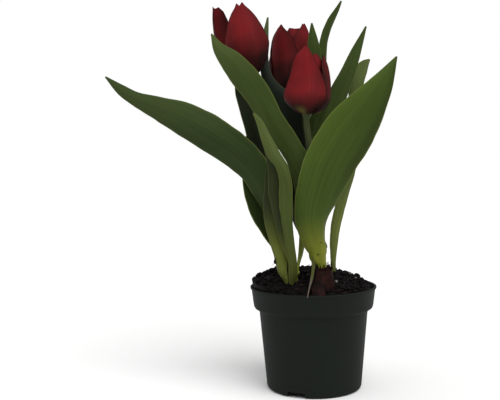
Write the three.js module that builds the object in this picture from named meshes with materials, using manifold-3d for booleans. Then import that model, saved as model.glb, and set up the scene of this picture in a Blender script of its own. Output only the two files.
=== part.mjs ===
// Potted tulip: three red tulips and their leaves, growing from three bulbs in a 12 cm grower's pot.
// Millimetres, +Z up. The origin is the centre of the pot's flat underside, and -Y is the front.

import * as THREE from 'three';
import { mergeVertices } from 'three/addons/utils/BufferGeometryUtils.js';
import Module from 'manifold-3d';

const wasm = await Module();
wasm.setup();

// ---------------------------------------------------------------- driving dimensions

const POT_HEIGHT = 97.5;
const RIM_RADIUS = 60;
const BAND_HEIGHT = 20;         // the deep collar round the top of the pot
const BODY_TOP_RADIUS = 51.7;   // body just under the collar
const FOOT_RADIUS = 45.3;       // body just above the rounded foot
const POT_WALL = 1.3;
const POT_SIDES = 44;

const DRAIN_TURNS = [-116, 4, 124];   // degrees; where the notches in the foot face
const DRAIN_WIDTH = 17;
const DRAIN_HEIGHT = 5.2;
const DRAIN_INNER = 28;               // how near the axis a notch reaches
const DRAIN_HOLE_RADIUS = 4.5;

const FIT_GAP = 0.4;            // clearance between pieces that touch
const SOIL_PEAK = 112.5;
const CRUMB_COUNT = 22;

const STEM_RADIUS = 2.7;
const BLADE_THICKNESS = 1.0;    // leaf at its middle; the margins are thinner
const MARGIN_THICKNESS = 0.65;
const TEPAL_THICKNESS = 0.8;
const SHEATH_RINGS = [3.9, 5.5];   // radii of the leaf bases round a stem, inner and outer
const SHEATH_SPAN = 80;             // degrees of the stem that one leaf base covers

const WIDE_LEAF_MESH = [6, 18];       // facets across and along
const NARROW_LEAF_MESH = [4, 14];
const OUTER_TEPAL_MESH = [6, 7];
const INNER_TEPAL_MESH = [4, 7];

// A shoot is what stands on one bulb: where it leaves the bulb, and where it is clear of the soil.
const SHOOTS = {
  left: { foot: [-21.5, -24.5, 79], collar: [-23, -30, 105] },
  back: { foot: [6.5, 13, 91], collar: [6.5, 12.5, 116] },
  right: { foot: [4, -32, 114.9], collar: [3.5, -32, 123] },
};

// ---------------------------------------------------------------- small helpers

const radians = THREE.MathUtils.degToRad;

function seededRandom(seed) {
  let state = seed;
  return () => {
    state = (Math.imul(state, 1664525) + 1013904223) >>> 0;
    return state / 4294967296;
  };
}

function compass(degrees) {
  return new THREE.Vector3(Math.cos(radians(degrees)), Math.sin(radians(degrees)), 0);
}

function vector(values) {
  return new THREE.Vector3(values[0], values[1], values[2]);
}

const UP = new THREE.Vector3(0, 0, 1);

// The turn that leans what was made round +Z so that it stands along `axis`.
function leaning(axis) {
  return new THREE.Quaternion().setFromUnitVectors(UP, axis);
}

// A smooth curve through rows of three numbers; used for places and for sizes that change along a piece.
function smooth(rows) {
  return new THREE.CatmullRomCurve3(rows.map(vector));
}

function signedVolume(position, index) {
  const [a, b, c] = [new THREE.Vector3(), new THREE.Vector3(), new THREE.Vector3()];
  let volume = 0;
  for (let i = 0; i < index.length; i += 3) {
    a.fromBufferAttribute(position, index[i]);
    b.fromBufferAttribute(position, index[i + 1]);
    c.fromBufferAttribute(position, index[i + 2]);
    volume += a.dot(b.cross(c)) / 6;
  }
  return volume;
}

// Shares the vertices of a geometry, drops triangles of no area and turns its faces outwards.
function closed(geometry) {
  const bare = geometry.clone();
  bare.deleteAttribute('normal');
  bare.deleteAttribute('uv');
  const merged = mergeVertices(bare, 1e-4);
  const old = merged.index.array;
  const index = [];
  for (let i = 0; i < old.length; i += 3) {
    const [a, b, c] = [old[i], old[i + 1], old[i + 2]];
    if (a !== b && b !== c && c !== a) index.push(a, b, c);
  }
  if (signedVolume(merged.attributes.position, index) < 0) index.reverse();
  merged.setIndex(index);
  return merged;
}

function solid(geometry) {
  const mesh = closed(geometry);
  return new wasm.Manifold(new wasm.Mesh({
    numProp: 3,
    vertProperties: new Float32Array(mesh.attributes.position.array),
    triVerts: new Uint32Array(mesh.index.array),
  }));
}

function geometryOf(manifold) {
  const mesh = manifold.getMesh();
  const geometry = new THREE.BufferGeometry();
  geometry.setAttribute('position', new THREE.BufferAttribute(new Float32Array(mesh.vertProperties), 3));
  geometry.setIndex(Array.from(mesh.triVerts));
  return geometry;
}

// The one body of a cut solid that matters, without the scraps that a cut can leave.
function largestBody(manifold) {
  return manifold.decompose().reduce((best, body) => (body.volume() > best.volume() ? body : best));
}

function lathe(profile, sides) {
  const points = profile.map(([radius, height]) => new THREE.Vector2(radius, height));
  return closed(new THREE.LatheGeometry(points, sides).rotateX(Math.PI / 2));
}

// A thin curved sheet with a thickness: both faces are split into triangles alike.
// place(across, along, face) gives a point; across is -1 to 1, along 0 to 1, face -1 inside or 1 outside.
function thinSheet(segmentsAcross, segmentsAlong, place) {
  const grid = new THREE.PlaneGeometry(2, 1, segmentsAcross, segmentsAlong);
  const flat = grid.attributes.position;
  const facing = Array.from(grid.index.array);
  const count = flat.count;
  const points = [];
  for (const face of [1, -1]) {
    for (let i = 0; i < count; i += 1) points.push(place(flat.getX(i), flat.getY(i) + 0.5, face));
  }
  const backing = facing.map((vertex) => vertex + count).reverse();
  const columns = segmentsAcross + 1;
  const rim = [];
  for (let i = 0; i < segmentsAcross; i += 1) rim.push(i);
  for (let i = 0; i < segmentsAlong; i += 1) rim.push(i * columns + segmentsAcross);
  for (let i = segmentsAcross; i > 0; i -= 1) rim.push(segmentsAlong * columns + i);
  for (let i = segmentsAlong; i > 0; i -= 1) rim.push(i * columns);
  const edge = rim.flatMap((from, i) => {
    const to = rim[(i + 1) % rim.length];
    return [from, to, to + count, from, to + count, from + count];
  });
  const geometry = new THREE.BufferGeometry().setFromPoints(points);
  geometry.setIndex([...facing, ...backing, ...edge]);
  return closed(geometry);
}

const tulip = new THREE.Group();

function add(name, geometry, material) {
  const mesh = new THREE.Mesh(geometry, material.clone());
  mesh.name = name;
  tulip.add(mesh);
  return mesh;
}

function matt(colour, roughness = 0.7) {
  return new THREE.MeshStandardMaterial({ color: colour, roughness, metalness: 0 });
}

// ---------------------------------------------------------------- pot

const SHOULDER = POT_HEIGHT - BAND_HEIGHT;
const FLOOR = 1.6;
const ROOF = DRAIN_HEIGHT + 1.5;

// Outside of the pot from the underside up to the lip, then the inside back down to the floor.
const potProfile = [
  [0, 0],
  [42.2, 0],
  [44.2, 0.8],
  [FOOT_RADIUS, 3.2],
  [BODY_TOP_RADIUS, SHOULDER - 2.2],
  [54.4, SHOULDER - 1.2],
  [56.4, SHOULDER + 0.4],
  [57, SHOULDER + 3],
  [58.9, POT_HEIGHT - 2.2],
  [RIM_RADIUS, POT_HEIGHT - 1.4],
  [RIM_RADIUS, POT_HEIGHT - 0.3],
  [RIM_RADIUS - 0.5, POT_HEIGHT],
  [58.2, POT_HEIGHT],
  [57.6, POT_HEIGHT - 1.4],
  [57 - POT_WALL, SHOULDER + 3.2],
  [54.6, SHOULDER + 1.4],
  [BODY_TOP_RADIUS - POT_WALL, SHOULDER + 0.6],
  [FOOT_RADIUS - POT_WALL, 4.4],
  [FOOT_RADIUS - 2.8, FLOOR],
  [0, FLOOR],
];

// A bar that reaches out from near the axis, for a drain notch and for the roof over it.
function drainBar(turn, width, height, inner, outer) {
  const bar = new THREE.BoxGeometry(outer - inner, width, height);
  bar.translate((outer + inner) / 2, 0, height / 2);
  return bar.rotateZ(radians(turn));
}

function drainRoof(turn, gap = 0) {
  return drainBar(turn, DRAIN_WIDTH + 3 + 2 * gap, ROOF + gap, DRAIN_INNER - 1.5 - gap, FOOT_RADIUS + 0.2);
}

function drainHole(turn) {
  const hole = new THREE.CylinderGeometry(DRAIN_HOLE_RADIUS, DRAIN_HOLE_RADIUS, 3 * FLOOR, 16);
  hole.rotateX(Math.PI / 2);
  hole.translate(DRAIN_INNER + 8, 0, ROOF);
  return hole.rotateZ(radians(turn));
}

// The space inside the body's outer face, which trims the drain roofs.
const bodyProfile = [...potProfile.slice(0, 5), [BODY_TOP_RADIUS, SHOULDER], [0, SHOULDER]];
const potSkin = solid(lathe(bodyProfile, POT_SIDES));

function makePot() {
  let pot = solid(lathe(potProfile, POT_SIDES));
  for (const turn of DRAIN_TURNS) {
    const roof = solid(drainRoof(turn)).intersect(potSkin);
    pot = pot.add(roof);
    const notch = drainBar(turn, DRAIN_WIDTH, 2 * DRAIN_HEIGHT, DRAIN_INNER, FOOT_RADIUS + 8);
    notch.translate(0, 0, -DRAIN_HEIGHT);
    pot = pot.subtract(solid(notch));
    pot = pot.subtract(solid(drainHole(turn)));
  }
  return geometryOf(pot);
}

add('pot', makePot(), matt(0x222625, 0.45));

// ---------------------------------------------------------------- bulbs

const BULB_HEIGHT = 44;
const BULB_RADIUS = 16.5;
const BULB_SIDES = 14;
const COLLAR_RADIUS = 7.5;      // the papery skin that stands round the shoot
const COLLAR_BORE = 6.5;
const COLLAR_DEPTH = 4;

// Half outline of a bulb, from its root plate up; `gap` gives the pocket that it sits in.
function bulbProfile(gap = 0) {
  const outline = [
    [0, 0], [6.5, -0.6], [8.5, 1.2], [13.2, 5.5], [15.8, 11.5], [BULB_RADIUS, 17.5],
    [15.6, 24], [13.4, 31], [10.4, 37], [8.1, 41.5],
  ];
  return outline.map(([radius, height]) => {
    const lower = height < 3 ? gap : 0;
    return [radius === 0 ? 0 : radius + gap, height - lower];
  });
}

function makeBulb(shoot, seed) {
  const top = BULB_HEIGHT + 0.6;
  const profile = [
    ...bulbProfile(),
    [COLLAR_RADIUS, top],
    [COLLAR_BORE, top - 0.4],
    [COLLAR_BORE - 0.1, BULB_HEIGHT - COLLAR_DEPTH],
    [0, BULB_HEIGHT - COLLAR_DEPTH],
  ];
  const bulb = lathe(profile, BULB_SIDES);
  const random = seededRandom(seed);
  const phase = random() * 2 * Math.PI;
  const place = bulb.attributes.position;
  for (let i = 0; i < place.count; i += 1) {
    const [x, y, z] = [place.getX(i), place.getY(i), place.getZ(i)];
    const around = Math.atan2(y, x) + phase;
    const swell = z < BULB_HEIGHT - 9 ? 1 - 0.035 * (1 + Math.sin(2 * around)) : 1;
    const ragged = z > BULB_HEIGHT - 1 ? 1.3 * Math.sin(3 * around) * Math.cos(2 * around) : 0;
    place.setXYZ(i, x * swell, y * swell, z + ragged);
  }
  return seatBulb(bulb, shoot);
}

function shootAxis({ foot, collar }) {
  return new THREE.Vector3().subVectors(vector(collar), vector(foot)).normalize();
}

// Puts a bulb, or its pocket, under its shoot and leans it the same way. The bottom of the shoot stands
// FIT_GAP above the floor of the bulb's collar.
function seatBulb(geometry, shoot) {
  geometry.translate(0, 0, COLLAR_DEPTH - BULB_HEIGHT - FIT_GAP);
  geometry.applyQuaternion(leaning(shootAxis(shoot)));
  return geometry.translate(...shoot.foot);
}

const bulbSkin = matt(0x3a2019, 0.6);
Object.entries(SHOOTS).forEach(([name, shoot], i) => add(`bulb_${name}`, makeBulb(shoot, 11 + i), bulbSkin));

// ---------------------------------------------------------------- soil

// Height of the soil: heaped well above the rim at the left and the back, lower at the front and the right.
function soilHeight(x, y) {
  const reach = Math.min(1, Math.hypot(x, y) / 57);
  const around = Math.atan2(y, x);
  const left = Math.max(0, -Math.cos(around));
  const right = Math.max(0, Math.cos(around));
  const front = Math.max(0, -Math.sin(around));
  const edge = POT_HEIGHT - 2 + 8.5 * left ** 2 - 2.5 * front ** 2;
  const bow = 3.1 + 0.7 * left - 1.3 * front - 0.8 * right;
  const lumps = 0.9 * Math.sin(x / 5.1 + 1.3) * Math.cos(y / 4.3) + 0.6 * Math.sin((x + 2 * y) / 7.7);
  return edge + (SOIL_PEAK - edge) * (1 - reach ** bow) + lumps * (1 - reach ** 6);
}

const SOIL_TOP = 500;           // marks the points of the profile that take soilHeight
const soilProfile = [
  [0, FLOOR + FIT_GAP],
  [FOOT_RADIUS - 3.4, FLOOR + FIT_GAP],
  [FOOT_RADIUS - POT_WALL - FIT_GAP - 0.1, 4.8],
  [BODY_TOP_RADIUS - POT_WALL - FIT_GAP, SHOULDER + 1.2],
  [54.0, SHOULDER + 2.2],
  [57 - POT_WALL - FIT_GAP, SHOULDER + 3.8],
  [56.4, POT_HEIGHT - 5.5],
  ...[56.6, 53.5, 49, 44, 38.5, 32.5, 26, 19, 11].map((radius) => [radius, SOIL_TOP]),
  [0, SOIL_TOP],
];

const SHOOT_HOLE = 7.6;
const OFFSET_LEAF_FOOT = [18.5, -6, 101.5];   // the narrow leaf at the right has a hole of its own

// A hole in the soil for a shoot or a single leaf, from its foot up through the surface.
function soilHole(from, to, radius, topRadius = radius) {
  const along = new THREE.Vector3().subVectors(vector(to), vector(from));
  const hole = new THREE.CylinderGeometry(topRadius, radius, along.length(), 14);
  hole.rotateX(Math.PI / 2);
  hole.translate(0, 0, along.length() / 2);
  hole.applyQuaternion(leaning(along.normalize()));
  return hole.translate(...from);
}

function bulbPocket(shoot) {
  const profile = [...bulbProfile(FIT_GAP), [COLLAR_RADIUS + 0.7, BULB_HEIGHT + 2.4], [0, BULB_HEIGHT + 2.4]];
  return seatBulb(lathe(profile, BULB_SIDES), shoot);
}

function makeCrumb(random) {
  const around = random() * 2 * Math.PI;
  const reach = 54 * Math.sqrt(random());
  const size = 1.1 + 1.3 * random();
  const [x, y] = [reach * Math.cos(around), reach * Math.sin(around)];
  const crumb = new THREE.IcosahedronGeometry(size, 0);
  crumb.scale(1, 0.8 + 0.4 * random(), 0.75);
  crumb.rotateZ(random() * Math.PI);
  return crumb.translate(x, y, soilHeight(x, y) + 0.35 * size);
}

function makeSoil() {
  const mound = lathe(soilProfile, 30);
  const place = mound.attributes.position;
  for (let i = 0; i < place.count; i += 1) {
    const [x, y] = [place.getX(i), place.getY(i)];
    const height = soilHeight(x, y);
    const spill = height > POT_HEIGHT + 2 ? 1 + 0.035 * Math.max(0, -x / 57) ** 2 : 1;
    if (place.getZ(i) > SOIL_TOP - 1) place.setXYZ(i, x * spill, y * spill, height);
  }
  let soil = solid(mound);
  const random = seededRandom(5);
  for (let i = 0; i < CRUMB_COUNT; i += 1) soil = soil.add(solid(makeCrumb(random)));
  for (const turn of DRAIN_TURNS) soil = soil.subtract(solid(drainRoof(turn, FIT_GAP)));
  for (const shoot of Object.values(SHOOTS)) {
    const axis = shootAxis(shoot);
    const mouth = vector(shoot.collar).addScaledVector(axis, -10).toArray();
    const above = vector(shoot.collar).addScaledVector(axis, 12).toArray();
    soil = soil.subtract(solid(bulbPocket(shoot)));
    soil = soil.subtract(solid(soilHole(shoot.foot, above, SHOOT_HOLE)));
    soil = soil.subtract(solid(soilHole(mouth, above, SHOOT_HOLE, SHOOT_HOLE + 5)));
  }
  soil = soil.subtract(solid(soilHole(OFFSET_LEAF_FOOT, [19, -5, 122], 3.2)));
  return geometryOf(largestBody(soil));
}

add('soil', makeSoil(), matt(0x15110f, 0.95));

// ---------------------------------------------------------------- leaves

// Each row of a blade is x, y, z, width, fold and facing: the place of its midrib, its width measured over
// the surface, how many degrees its section bends round, and the compass angle that its outside faces.
// A leaf starts with rows made from its shoot: its base covers part of the stem at `side`, in `ring`.
const LEAVES = {
  leaf_wide_right: {
    shoot: 'right', side: 290, ring: 1, wave: [0.9, 2.2, 0.4], mesh: WIDE_LEAF_MESH,
    rows: [
      [3.4, -39.5, 129, 19.5, 152, 284],
      [2.6, -41.5, 136, 20, 130, 284],
      [-1, -44, 148.5, 26, 115, 283],
      [-2, -46, 168.5, 35, 90, 281],
      [4, -49, 191.5, 43, 70, 279],
      [12.5, -52, 213.5, 47, 56, 278],
      [30.5, -55, 243.5, 46, 44, 276],
      [43.5, -55, 261.5, 37, 38, 276],
      [58.5, -53, 283.5, 21, 34, 276],
      [72, -49, 307.5, 1, 20, 276],
    ],
  },
  leaf_across: {
    shoot: 'right', side: 180, ring: 0, wave: [0.8, 2, 1.9], mesh: WIDE_LEAF_MESH,
    rows: [
      [-4, -35, 136.5, 14, 130, 222],
      [-8, -37, 160.5, 21, 84, 254],
      [-7, -37.5, 185.5, 23, 74, 256],
      [-13.5, -36.5, 213, 22, 60, 256],
      [-26.5, -35, 236, 21.5, 50, 255],
      [-38.5, -35, 254, 22, 50, 255],
      [-51, -36, 277, 24.5, 50, 255],
      [-62, -38, 292, 25, 50, 255],
      [-73.5, -40, 306, 21, 46, 255],
      [-84.5, -42, 318, 11.5, 40, 255],
      [-91, -43, 331, 1, 30, 255],
    ],
  },
  leaf_narrow_right: {
    wave: [0.6, 2, 0.8], mesh: NARROW_LEAF_MESH,
    rows: [
      [18.5, -6, 102, 3.5, 60, 270],
      [19, -5, 120.5, 4, 60, 270],
      [20, -4, 139.5, 7, 60, 274],
      [22, -3, 155.5, 8.5, 60, 280],
      [26, -2, 170.5, 10, 60, 284],
      [30, 0, 186.5, 12, 60, 286],
      [35.5, 2, 205.5, 13, 60, 288],
      [40.5, 6, 235.5, 15, 60, 290],
      [45, 12, 289, 14, 56, 290],
      [49.5, 14, 302.5, 13, 50, 290],
      [53, 14.5, 308, 8.5, 40, 290],
      [57.5, 15, 312.5, 1, 30, 290],
    ],
  },
  leaf_far_left: {
    shoot: 'left', side: 185, ring: 0, wave: [1.0, 2.3, 0.2], mesh: WIDE_LEAF_MESH,
    rows: [
      [-31.5, -28.5, 124.5, 9, 80, 190],
      [-33.5, -27, 149, 16, 80, 218],
      [-39, -25.5, 175, 23.5, 70, 236],
      [-46, -25, 193.5, 28, 60, 245],
      [-56, -25, 210.5, 30, 56, 250],
      [-71.5, -26, 226, 33, 50, 254],
      [-93, -28, 241.5, 34, 46, 255],
      [-118.5, -30, 256.5, 30.5, 44, 255],
      [-142, -30, 267, 20.5, 40, 255],
      [-161.5, -29, 275.5, 12.5, 34, 255],
      [-174, -28, 283.5, 9.5, 30, 255],
      [-188.5, -26, 296, 1, 20, 255],
    ],
  },
  leaf_sheath_left: {
    shoot: 'left', side: 203, ring: 1, wave: [0.3, 1.5, 2.2], mesh: NARROW_LEAF_MESH,
    rows: [
      [-30.5, -35.5, 113, 9.5, 90, 235],
      [-32, -36, 121, 12, 95, 240],
      [-33, -34.5, 132, 14, 95, 248],
      [-37, -35, 148, 14, 80, 255],
      [-40, -36, 163, 14.5, 70, 257],
      [-41, -37, 179, 13.5, 60, 258],
      [-40.5, -37, 193, 11.5, 56, 260],
      [-42.5, -37, 218, 1, 40, 260],
    ],
  },
  leaf_front_small: {
    shoot: 'left', side: 300, ring: 1, wave: [0.5, 2, 1.1], mesh: NARROW_LEAF_MESH,
    rows: [
      [-21, -40, 123, 7, 90, 290],
      [-24, -46, 145, 7.5, 80, 282],
      [-26, -50, 164, 9.5, 70, 277],
      [-27, -52, 183, 11.5, 70, 275],
      [-27.5, -54, 200, 10.5, 70, 274],
      [-31.5, -54, 214, 9.5, 70, 270],
      [-38.5, -53, 225, 10.5, 66, 266],
      [-44.5, -52, 239, 8, 60, 264],
      [-49.5, -51, 252, 5, 50, 262],
      [-54.5, -50, 260, 1, 40, 260],
    ],
  },
  leaf_front_inner: {
    shoot: 'left', side: 277, ring: 0, wave: [0.4, 1.5, 2.9], mesh: NARROW_LEAF_MESH,
    rows: [
      [-21.5, -38, 125.5, 6.5, 80, 268],
      [-27, -41, 142, 8.5, 80, 264],
      [-31, -44, 162, 11, 70, 262],
      [-34, -45, 178, 12.5, 70, 262],
      [-36, -45, 191, 12.5, 66, 262],
      [-36.5, -45, 207, 11.5, 60, 262],
      [-40.5, -44, 225, 8, 56, 262],
      [-45.5, -43, 238, 1, 40, 262],
    ],
  },
  leaf_upright_right: {
    shoot: 'left', side: 5, ring: 0, wave: [0.5, 2, 0.3], mesh: NARROW_LEAF_MESH,
    rows: [
      [-16, -28, 119, 6, 90, 350],
      [-13, -25, 131, 7, 80, 330],
      [-11, -22, 143.5, 8, 80, 315],
      [-6, -17, 170.5, 12, 70, 300],
      [-0.5, -14, 198.5, 16, 64, 292],
      [7.5, -11, 230.5, 18, 60, 288],
      [12.5, -10, 247.5, 18, 56, 286],
      [22.5, -8, 272.5, 18.5, 50, 285],
      [35, -5, 299.5, 14, 46, 285],
      [41, -3, 314.5, 10.5, 40, 285],
      [52, 0, 341.5, 1, 30, 285],
    ],
  },
  leaf_left_upper: {
    shoot: 'left', side: 113, ring: 1, wave: [0.5, 1.6, 0.9], mesh: NARROW_LEAF_MESH,
    rows: [
      [-28, -15.5, 123, 8, 90, 112],
      [-33, -9.5, 143, 11, 80, 110],
      [-38, -4, 166, 14, 74, 110],
      [-42.5, 0, 190, 15.5, 70, 110],
      [-48.5, 3, 218, 17.5, 64, 110],
      [-53, 5, 237, 17, 60, 110],
      [-59.5, 6, 260, 15, 56, 110],
      [-67.5, 7, 282, 9, 50, 110],
      [-71, 7, 299, 1, 30, 110],
    ],
  },
  leaf_left_low: {
    shoot: 'left', side: 95, ring: 0, wave: [0.7, 1.8, 2.4], mesh: NARROW_LEAF_MESH,
    rows: [
      [-27.5, -20.5, 123, 8, 90, 110],
      [-35.5, -17.5, 139, 13, 80, 122],
      [-44, -15, 155, 18, 74, 122],
      [-51, -12.5, 171, 20.5, 64, 120],
      [-56, -11, 190, 20, 58, 118],
      [-59.5, -10, 211, 16, 50, 118],
      [-61.5, -9, 228, 10, 40, 118],
      [-60.5, -9, 241, 1, 30, 118],
    ],
  },
  leaf_hooked_back: {
    shoot: 'back', side: 215, ring: 1, wave: [0.5, 1.8, 1.5], mesh: NARROW_LEAF_MESH,
    rows: [
      [0, 6, 130.5, 12, 110, 235],
      [-8, 3, 153.5, 17, 84, 250],
      [-13, 1, 175, 20.5, 70, 262],
      [-13.5, 1, 199, 18.5, 60, 266],
      [-14, 1, 222, 19, 54, 267],
      [-18.5, 2, 246, 23, 50, 268],
      [-22, 4, 267, 24, 50, 268],
      [-34.5, 8, 284, 14, 50, 268],
      [-42, 12, 300, 9, 46, 268],
      [-43, 17, 316, 7, 40, 268],
      [-42, 21, 333, 6, 36, 268],
      [-39, 24, 355, 1, 30, 268],
    ],
  },
  leaf_middle_back: {
    shoot: 'back', side: 270, ring: 0, wave: [0.4, 2, 0.1], mesh: NARROW_LEAF_MESH,
    rows: [
      [1, 8, 144.5, 9, 100, 272],
      [-3, 10, 183.5, 10.5, 74, 275],
      [-5.5, 11, 216.5, 12.5, 64, 275],
      [-4, 10, 240.5, 17, 60, 275],
      [-1, 9, 259.5, 20.5, 54, 275],
      [2, 8, 288.5, 17.5, 50, 275],
      [4, 7, 319.5, 12.5, 46, 275],
      [3, 7, 330.5, 9, 40, 275],
      [2, 8, 346.5, 1, 30, 275],
    ],
  },
  leaf_curled_top: {
    shoot: 'back', side: 5, ring: 0, wave: [0.4, 2, 2.6], mesh: NARROW_LEAF_MESH,
    rows: [
      [12, 16, 143.5, 8.5, 90, 355],
      [12, 19, 187.5, 9, 74, 335],
      [11.5, 22, 236.5, 9.5, 70, 318],
      [13, 24, 284.5, 9.5, 70, 305],
      [14, 26, 323.5, 8.5, 66, 302],
      [17, 27, 339.5, 8, 60, 300],
      [22, 27, 351.5, 7, 60, 300],
      [28, 27, 362.5, 4, 50, 300],
      [32, 27, 370.5, 1, 30, 300],
    ],
  },
};

// The rows of a leaf's base, on the circle of its ring, square to the shoot.
function baseRows({ shoot, side, ring }) {
  const { foot, collar } = SHOOTS[shoot];
  const radius = SHEATH_RINGS[ring];
  const out = compass(side);
  const along = shootAxis(SHOOTS[shoot]);
  out.addScaledVector(along, -out.dot(along)).setLength(radius);
  return [0, 0.5, 1].map((share) => {
    const at = new THREE.Vector3().lerpVectors(vector(foot), vector(collar), share).add(out);
    return [...at.toArray(), radius * radians(SHEATH_SPAN), SHEATH_SPAN, side];
  });
}

// Where a leaf's surface lies: across runs from margin to margin, along from its base to its tip.
function bladeSurface(rows, wave) {
  const midrib = smooth(rows.map((row) => row.slice(0, 3)));
  const section = smooth(rows.map((row) => row.slice(3, 6)));
  const [waveSize, waveCount, wavePhase] = wave;
  return (across, along, face) => {
    const place = midrib.getPoint(along);
    const up = midrib.getTangent(along);
    const { x: width, y: fold, z: facing } = section.getPoint(along);
    const out = compass(facing);
    out.addScaledVector(up, -out.dot(up)).normalize();
    const aside = new THREE.Vector3().crossVectors(out, up);
    const bend = radians(Math.max(fold, 4));
    const radius = Math.max(width, 0.9) / bend;
    const turn = (across * bend) / 2;
    const thickness = THREE.MathUtils.lerp(BLADE_THICKNESS, MARGIN_THICKNESS, across ** 2);
    const ripple = waveSize * Math.abs(across) ** 2.5 * Math.sin(Math.PI * along) ** 2
      * Math.sin(2 * Math.PI * waveCount * along + wavePhase + 1.9 * Math.sign(across));
    const rise = radius + ripple + (face * thickness) / 2;
    place.addScaledVector(aside, rise * Math.sin(turn));
    return place.addScaledVector(out, rise * Math.cos(turn) - radius);
  };
}

const leafGreen = matt(0x3a4924, 0.5);
Object.entries(LEAVES).forEach(([name, leaf]) => {
  const rows = leaf.shoot ? [...baseRows(leaf), ...leaf.rows] : leaf.rows;
  add(name, thinSheet(...leaf.mesh, bladeSurface(rows, leaf.wave)), leafGreen);
});

// ---------------------------------------------------------------- flowers

// What the tepals of a cup have in common, unless a bloom or one of its tepals says otherwise. `span` is how
// many degrees either side of its middle a tepal covers, `gape` opens the tips, `drop` makes a tepal shorter
// than the bloom, and `flare` turns it outwards about its foot. `heel` is the span at the foot. A tepal that
// is `over` its neighbours laps outside them with both margins. `belly` gives the cup's radius above its
// base, and `width` the tepal's half width, both as shares and at the heights that cupOutline lists.
const CUP = {
  span: 62,
  gape: 0.4,
  drop: 0,
  flare: 0,
  heel: 52,
  over: false,
  belly: [0.52, 0.82, 0.98, 1, 0.93],
  width: [0.16, 0.5, 0.82, 0.98, 1, 0.92, 0.62, 0.04],
};

// A bloom stands on its stem's top. Its axis points to `crown`, and `turn` is where its first outer tepal
// faces.
const BLOOMS = {
  left: {
    seat: [-56, -5, 298.5], crown: [-65.5, -7, 362.5], turn: 265,
    stem: [[-24.5, -26, 124], [-32.5, -18, 168], [-42, -11, 225]],
    cup: { radius: 21.5, gape: 0.3, belly: [0.4, 0.64, 0.9, 1, 0.94] },
    inner: { drop: 9, radius: 18.2 },
    outer_1: { span: 70, width: [0.16, 0.34, 0.56, 0.85, 1, 0.8, 0.5, 0.1] },
    outer_2: { radius: 20.4, drop: 6 },
    outer_3: {
      radius: 17, span: 60, flare: 20.5, over: true, gape: 0.15, drop: -8, belly: CUP.belly,
      width: [0.16, 0.5, 0.82, 0.98, 1, 0.98, 0.82, 0.2],
    },
  },
  back: {
    seat: [-17.5, 31, 278], crown: [-16, 33, 348], turn: 225,
    stem: [[4, 15.5, 141.5], [-4.5, 20, 189.5], [-12.5, 27, 242]],
    cup: { radius: 20.5, gape: 0.7, span: 63 },
    inner: { drop: 5, width: [0.16, 0.5, 0.82, 0.98, 1, 0.96, 0.8, 0.3] },
    outer_2: { turn: 322, heel: 43, radius: 19.7, drop: -1.5 },
    outer_3: {
      turn: 150, heel: 21, over: true, gape: 0.5, belly: [0.56, 0.88, 1.02, 1, 0.9],
      width: [0.16, 0.5, 0.82, 0.98, 0.95, 0.52, 0.3, 0.04],
    },
  },
  right: {
    seat: [-5.5, -26, 260.5], crown: [-0.5, -26, 318.5], turn: 241,
    stem: [[2.5, -31.5, 139.5], [0, -29, 179.5], [-3.5, -27, 227.5]],
    cup: { radius: 19.6, gape: 0.3, belly: [0.52, 0.8, 0.94, 0.87, 0.8] },
    inner: { drop: 6, radius: 16 },
    outer_1: {
      over: true, radius: 20, span: 72, gape: 0.45, drop: -1.5, belly: [0.52, 0.84, 1.04, 0.92, 0.8],
      width: [0.16, 0.5, 0.82, 1.02, 0.9, 0.64, 0.36, 0.04],
    },
    outer_2: {
      turn: 350, span: 46, heel: 46, drop: 5, gape: 0.5, belly: [0.52, 0.82, 0.98, 1, 0.95],
      width: [0.16, 0.5, 0.82, 0.98, 1, 0.96, 0.8, 0.2],
    },
    outer_3: { drop: 3 },
  },
};

const RECEPTACLE_RADIUS = 4.4;
const OUTER_SEAT = 5.1;         // radius at which the outer tepals start
const INNER_SEAT = 3.5;
const INNER_STEP = 2.9;         // how much nearer the axis the inner tepals lie

function bloomAxis({ seat, crown }) {
  return new THREE.Vector3().subVectors(vector(crown), vector(seat)).normalize();
}

// Turns a piece that was made round +Z onto a bloom's axis.
function seatBloom(geometry, bloom) {
  geometry.applyQuaternion(leaning(bloomAxis(bloom)));
  return geometry.translate(...bloom.seat);
}

function makeStem(shoot, bloom) {
  const axis = bloomAxis(bloom);
  const below = vector(bloom.seat).addScaledVector(axis, -7).toArray();
  const top = vector(bloom.seat).addScaledVector(axis, -1.5).toArray();
  const path = smooth([shoot.foot, shoot.collar, ...bloom.stem, below, top]);
  const round = new THREE.Shape().absarc(0, 0, STEM_RADIUS, 0, 2 * Math.PI, false);
  const stalk = new THREE.ExtrudeGeometry(round, { steps: 15, curveSegments: 5, extrudePath: path });
  const neck = STEM_RADIUS - 0.3;
  const cupProfile = [[0, -7], [neck, -7], [3.4, -2.6], [RECEPTACLE_RADIUS, -0.6], [3.2, 0], [0, 0]];
  const cup = lathe(cupProfile, 10);
  return geometryOf(solid(stalk).add(solid(seatBloom(cup, bloom))));
}

// Half outline of a tulip cup, as shares of its radius and height.
function cupOutline({ gape, start, radius, belly }) {
  const heights = [0, 0.035, 0.12, 0.26, 0.42, 0.6, 0.82, 1];
  const reaches = [start / radius, ...belly, 0.6 + 0.4 * gape, 0.2 + 0.75 * gape];
  return smooth(reaches.map((reach, i) => [reach, heights[i], 0]));
}

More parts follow.
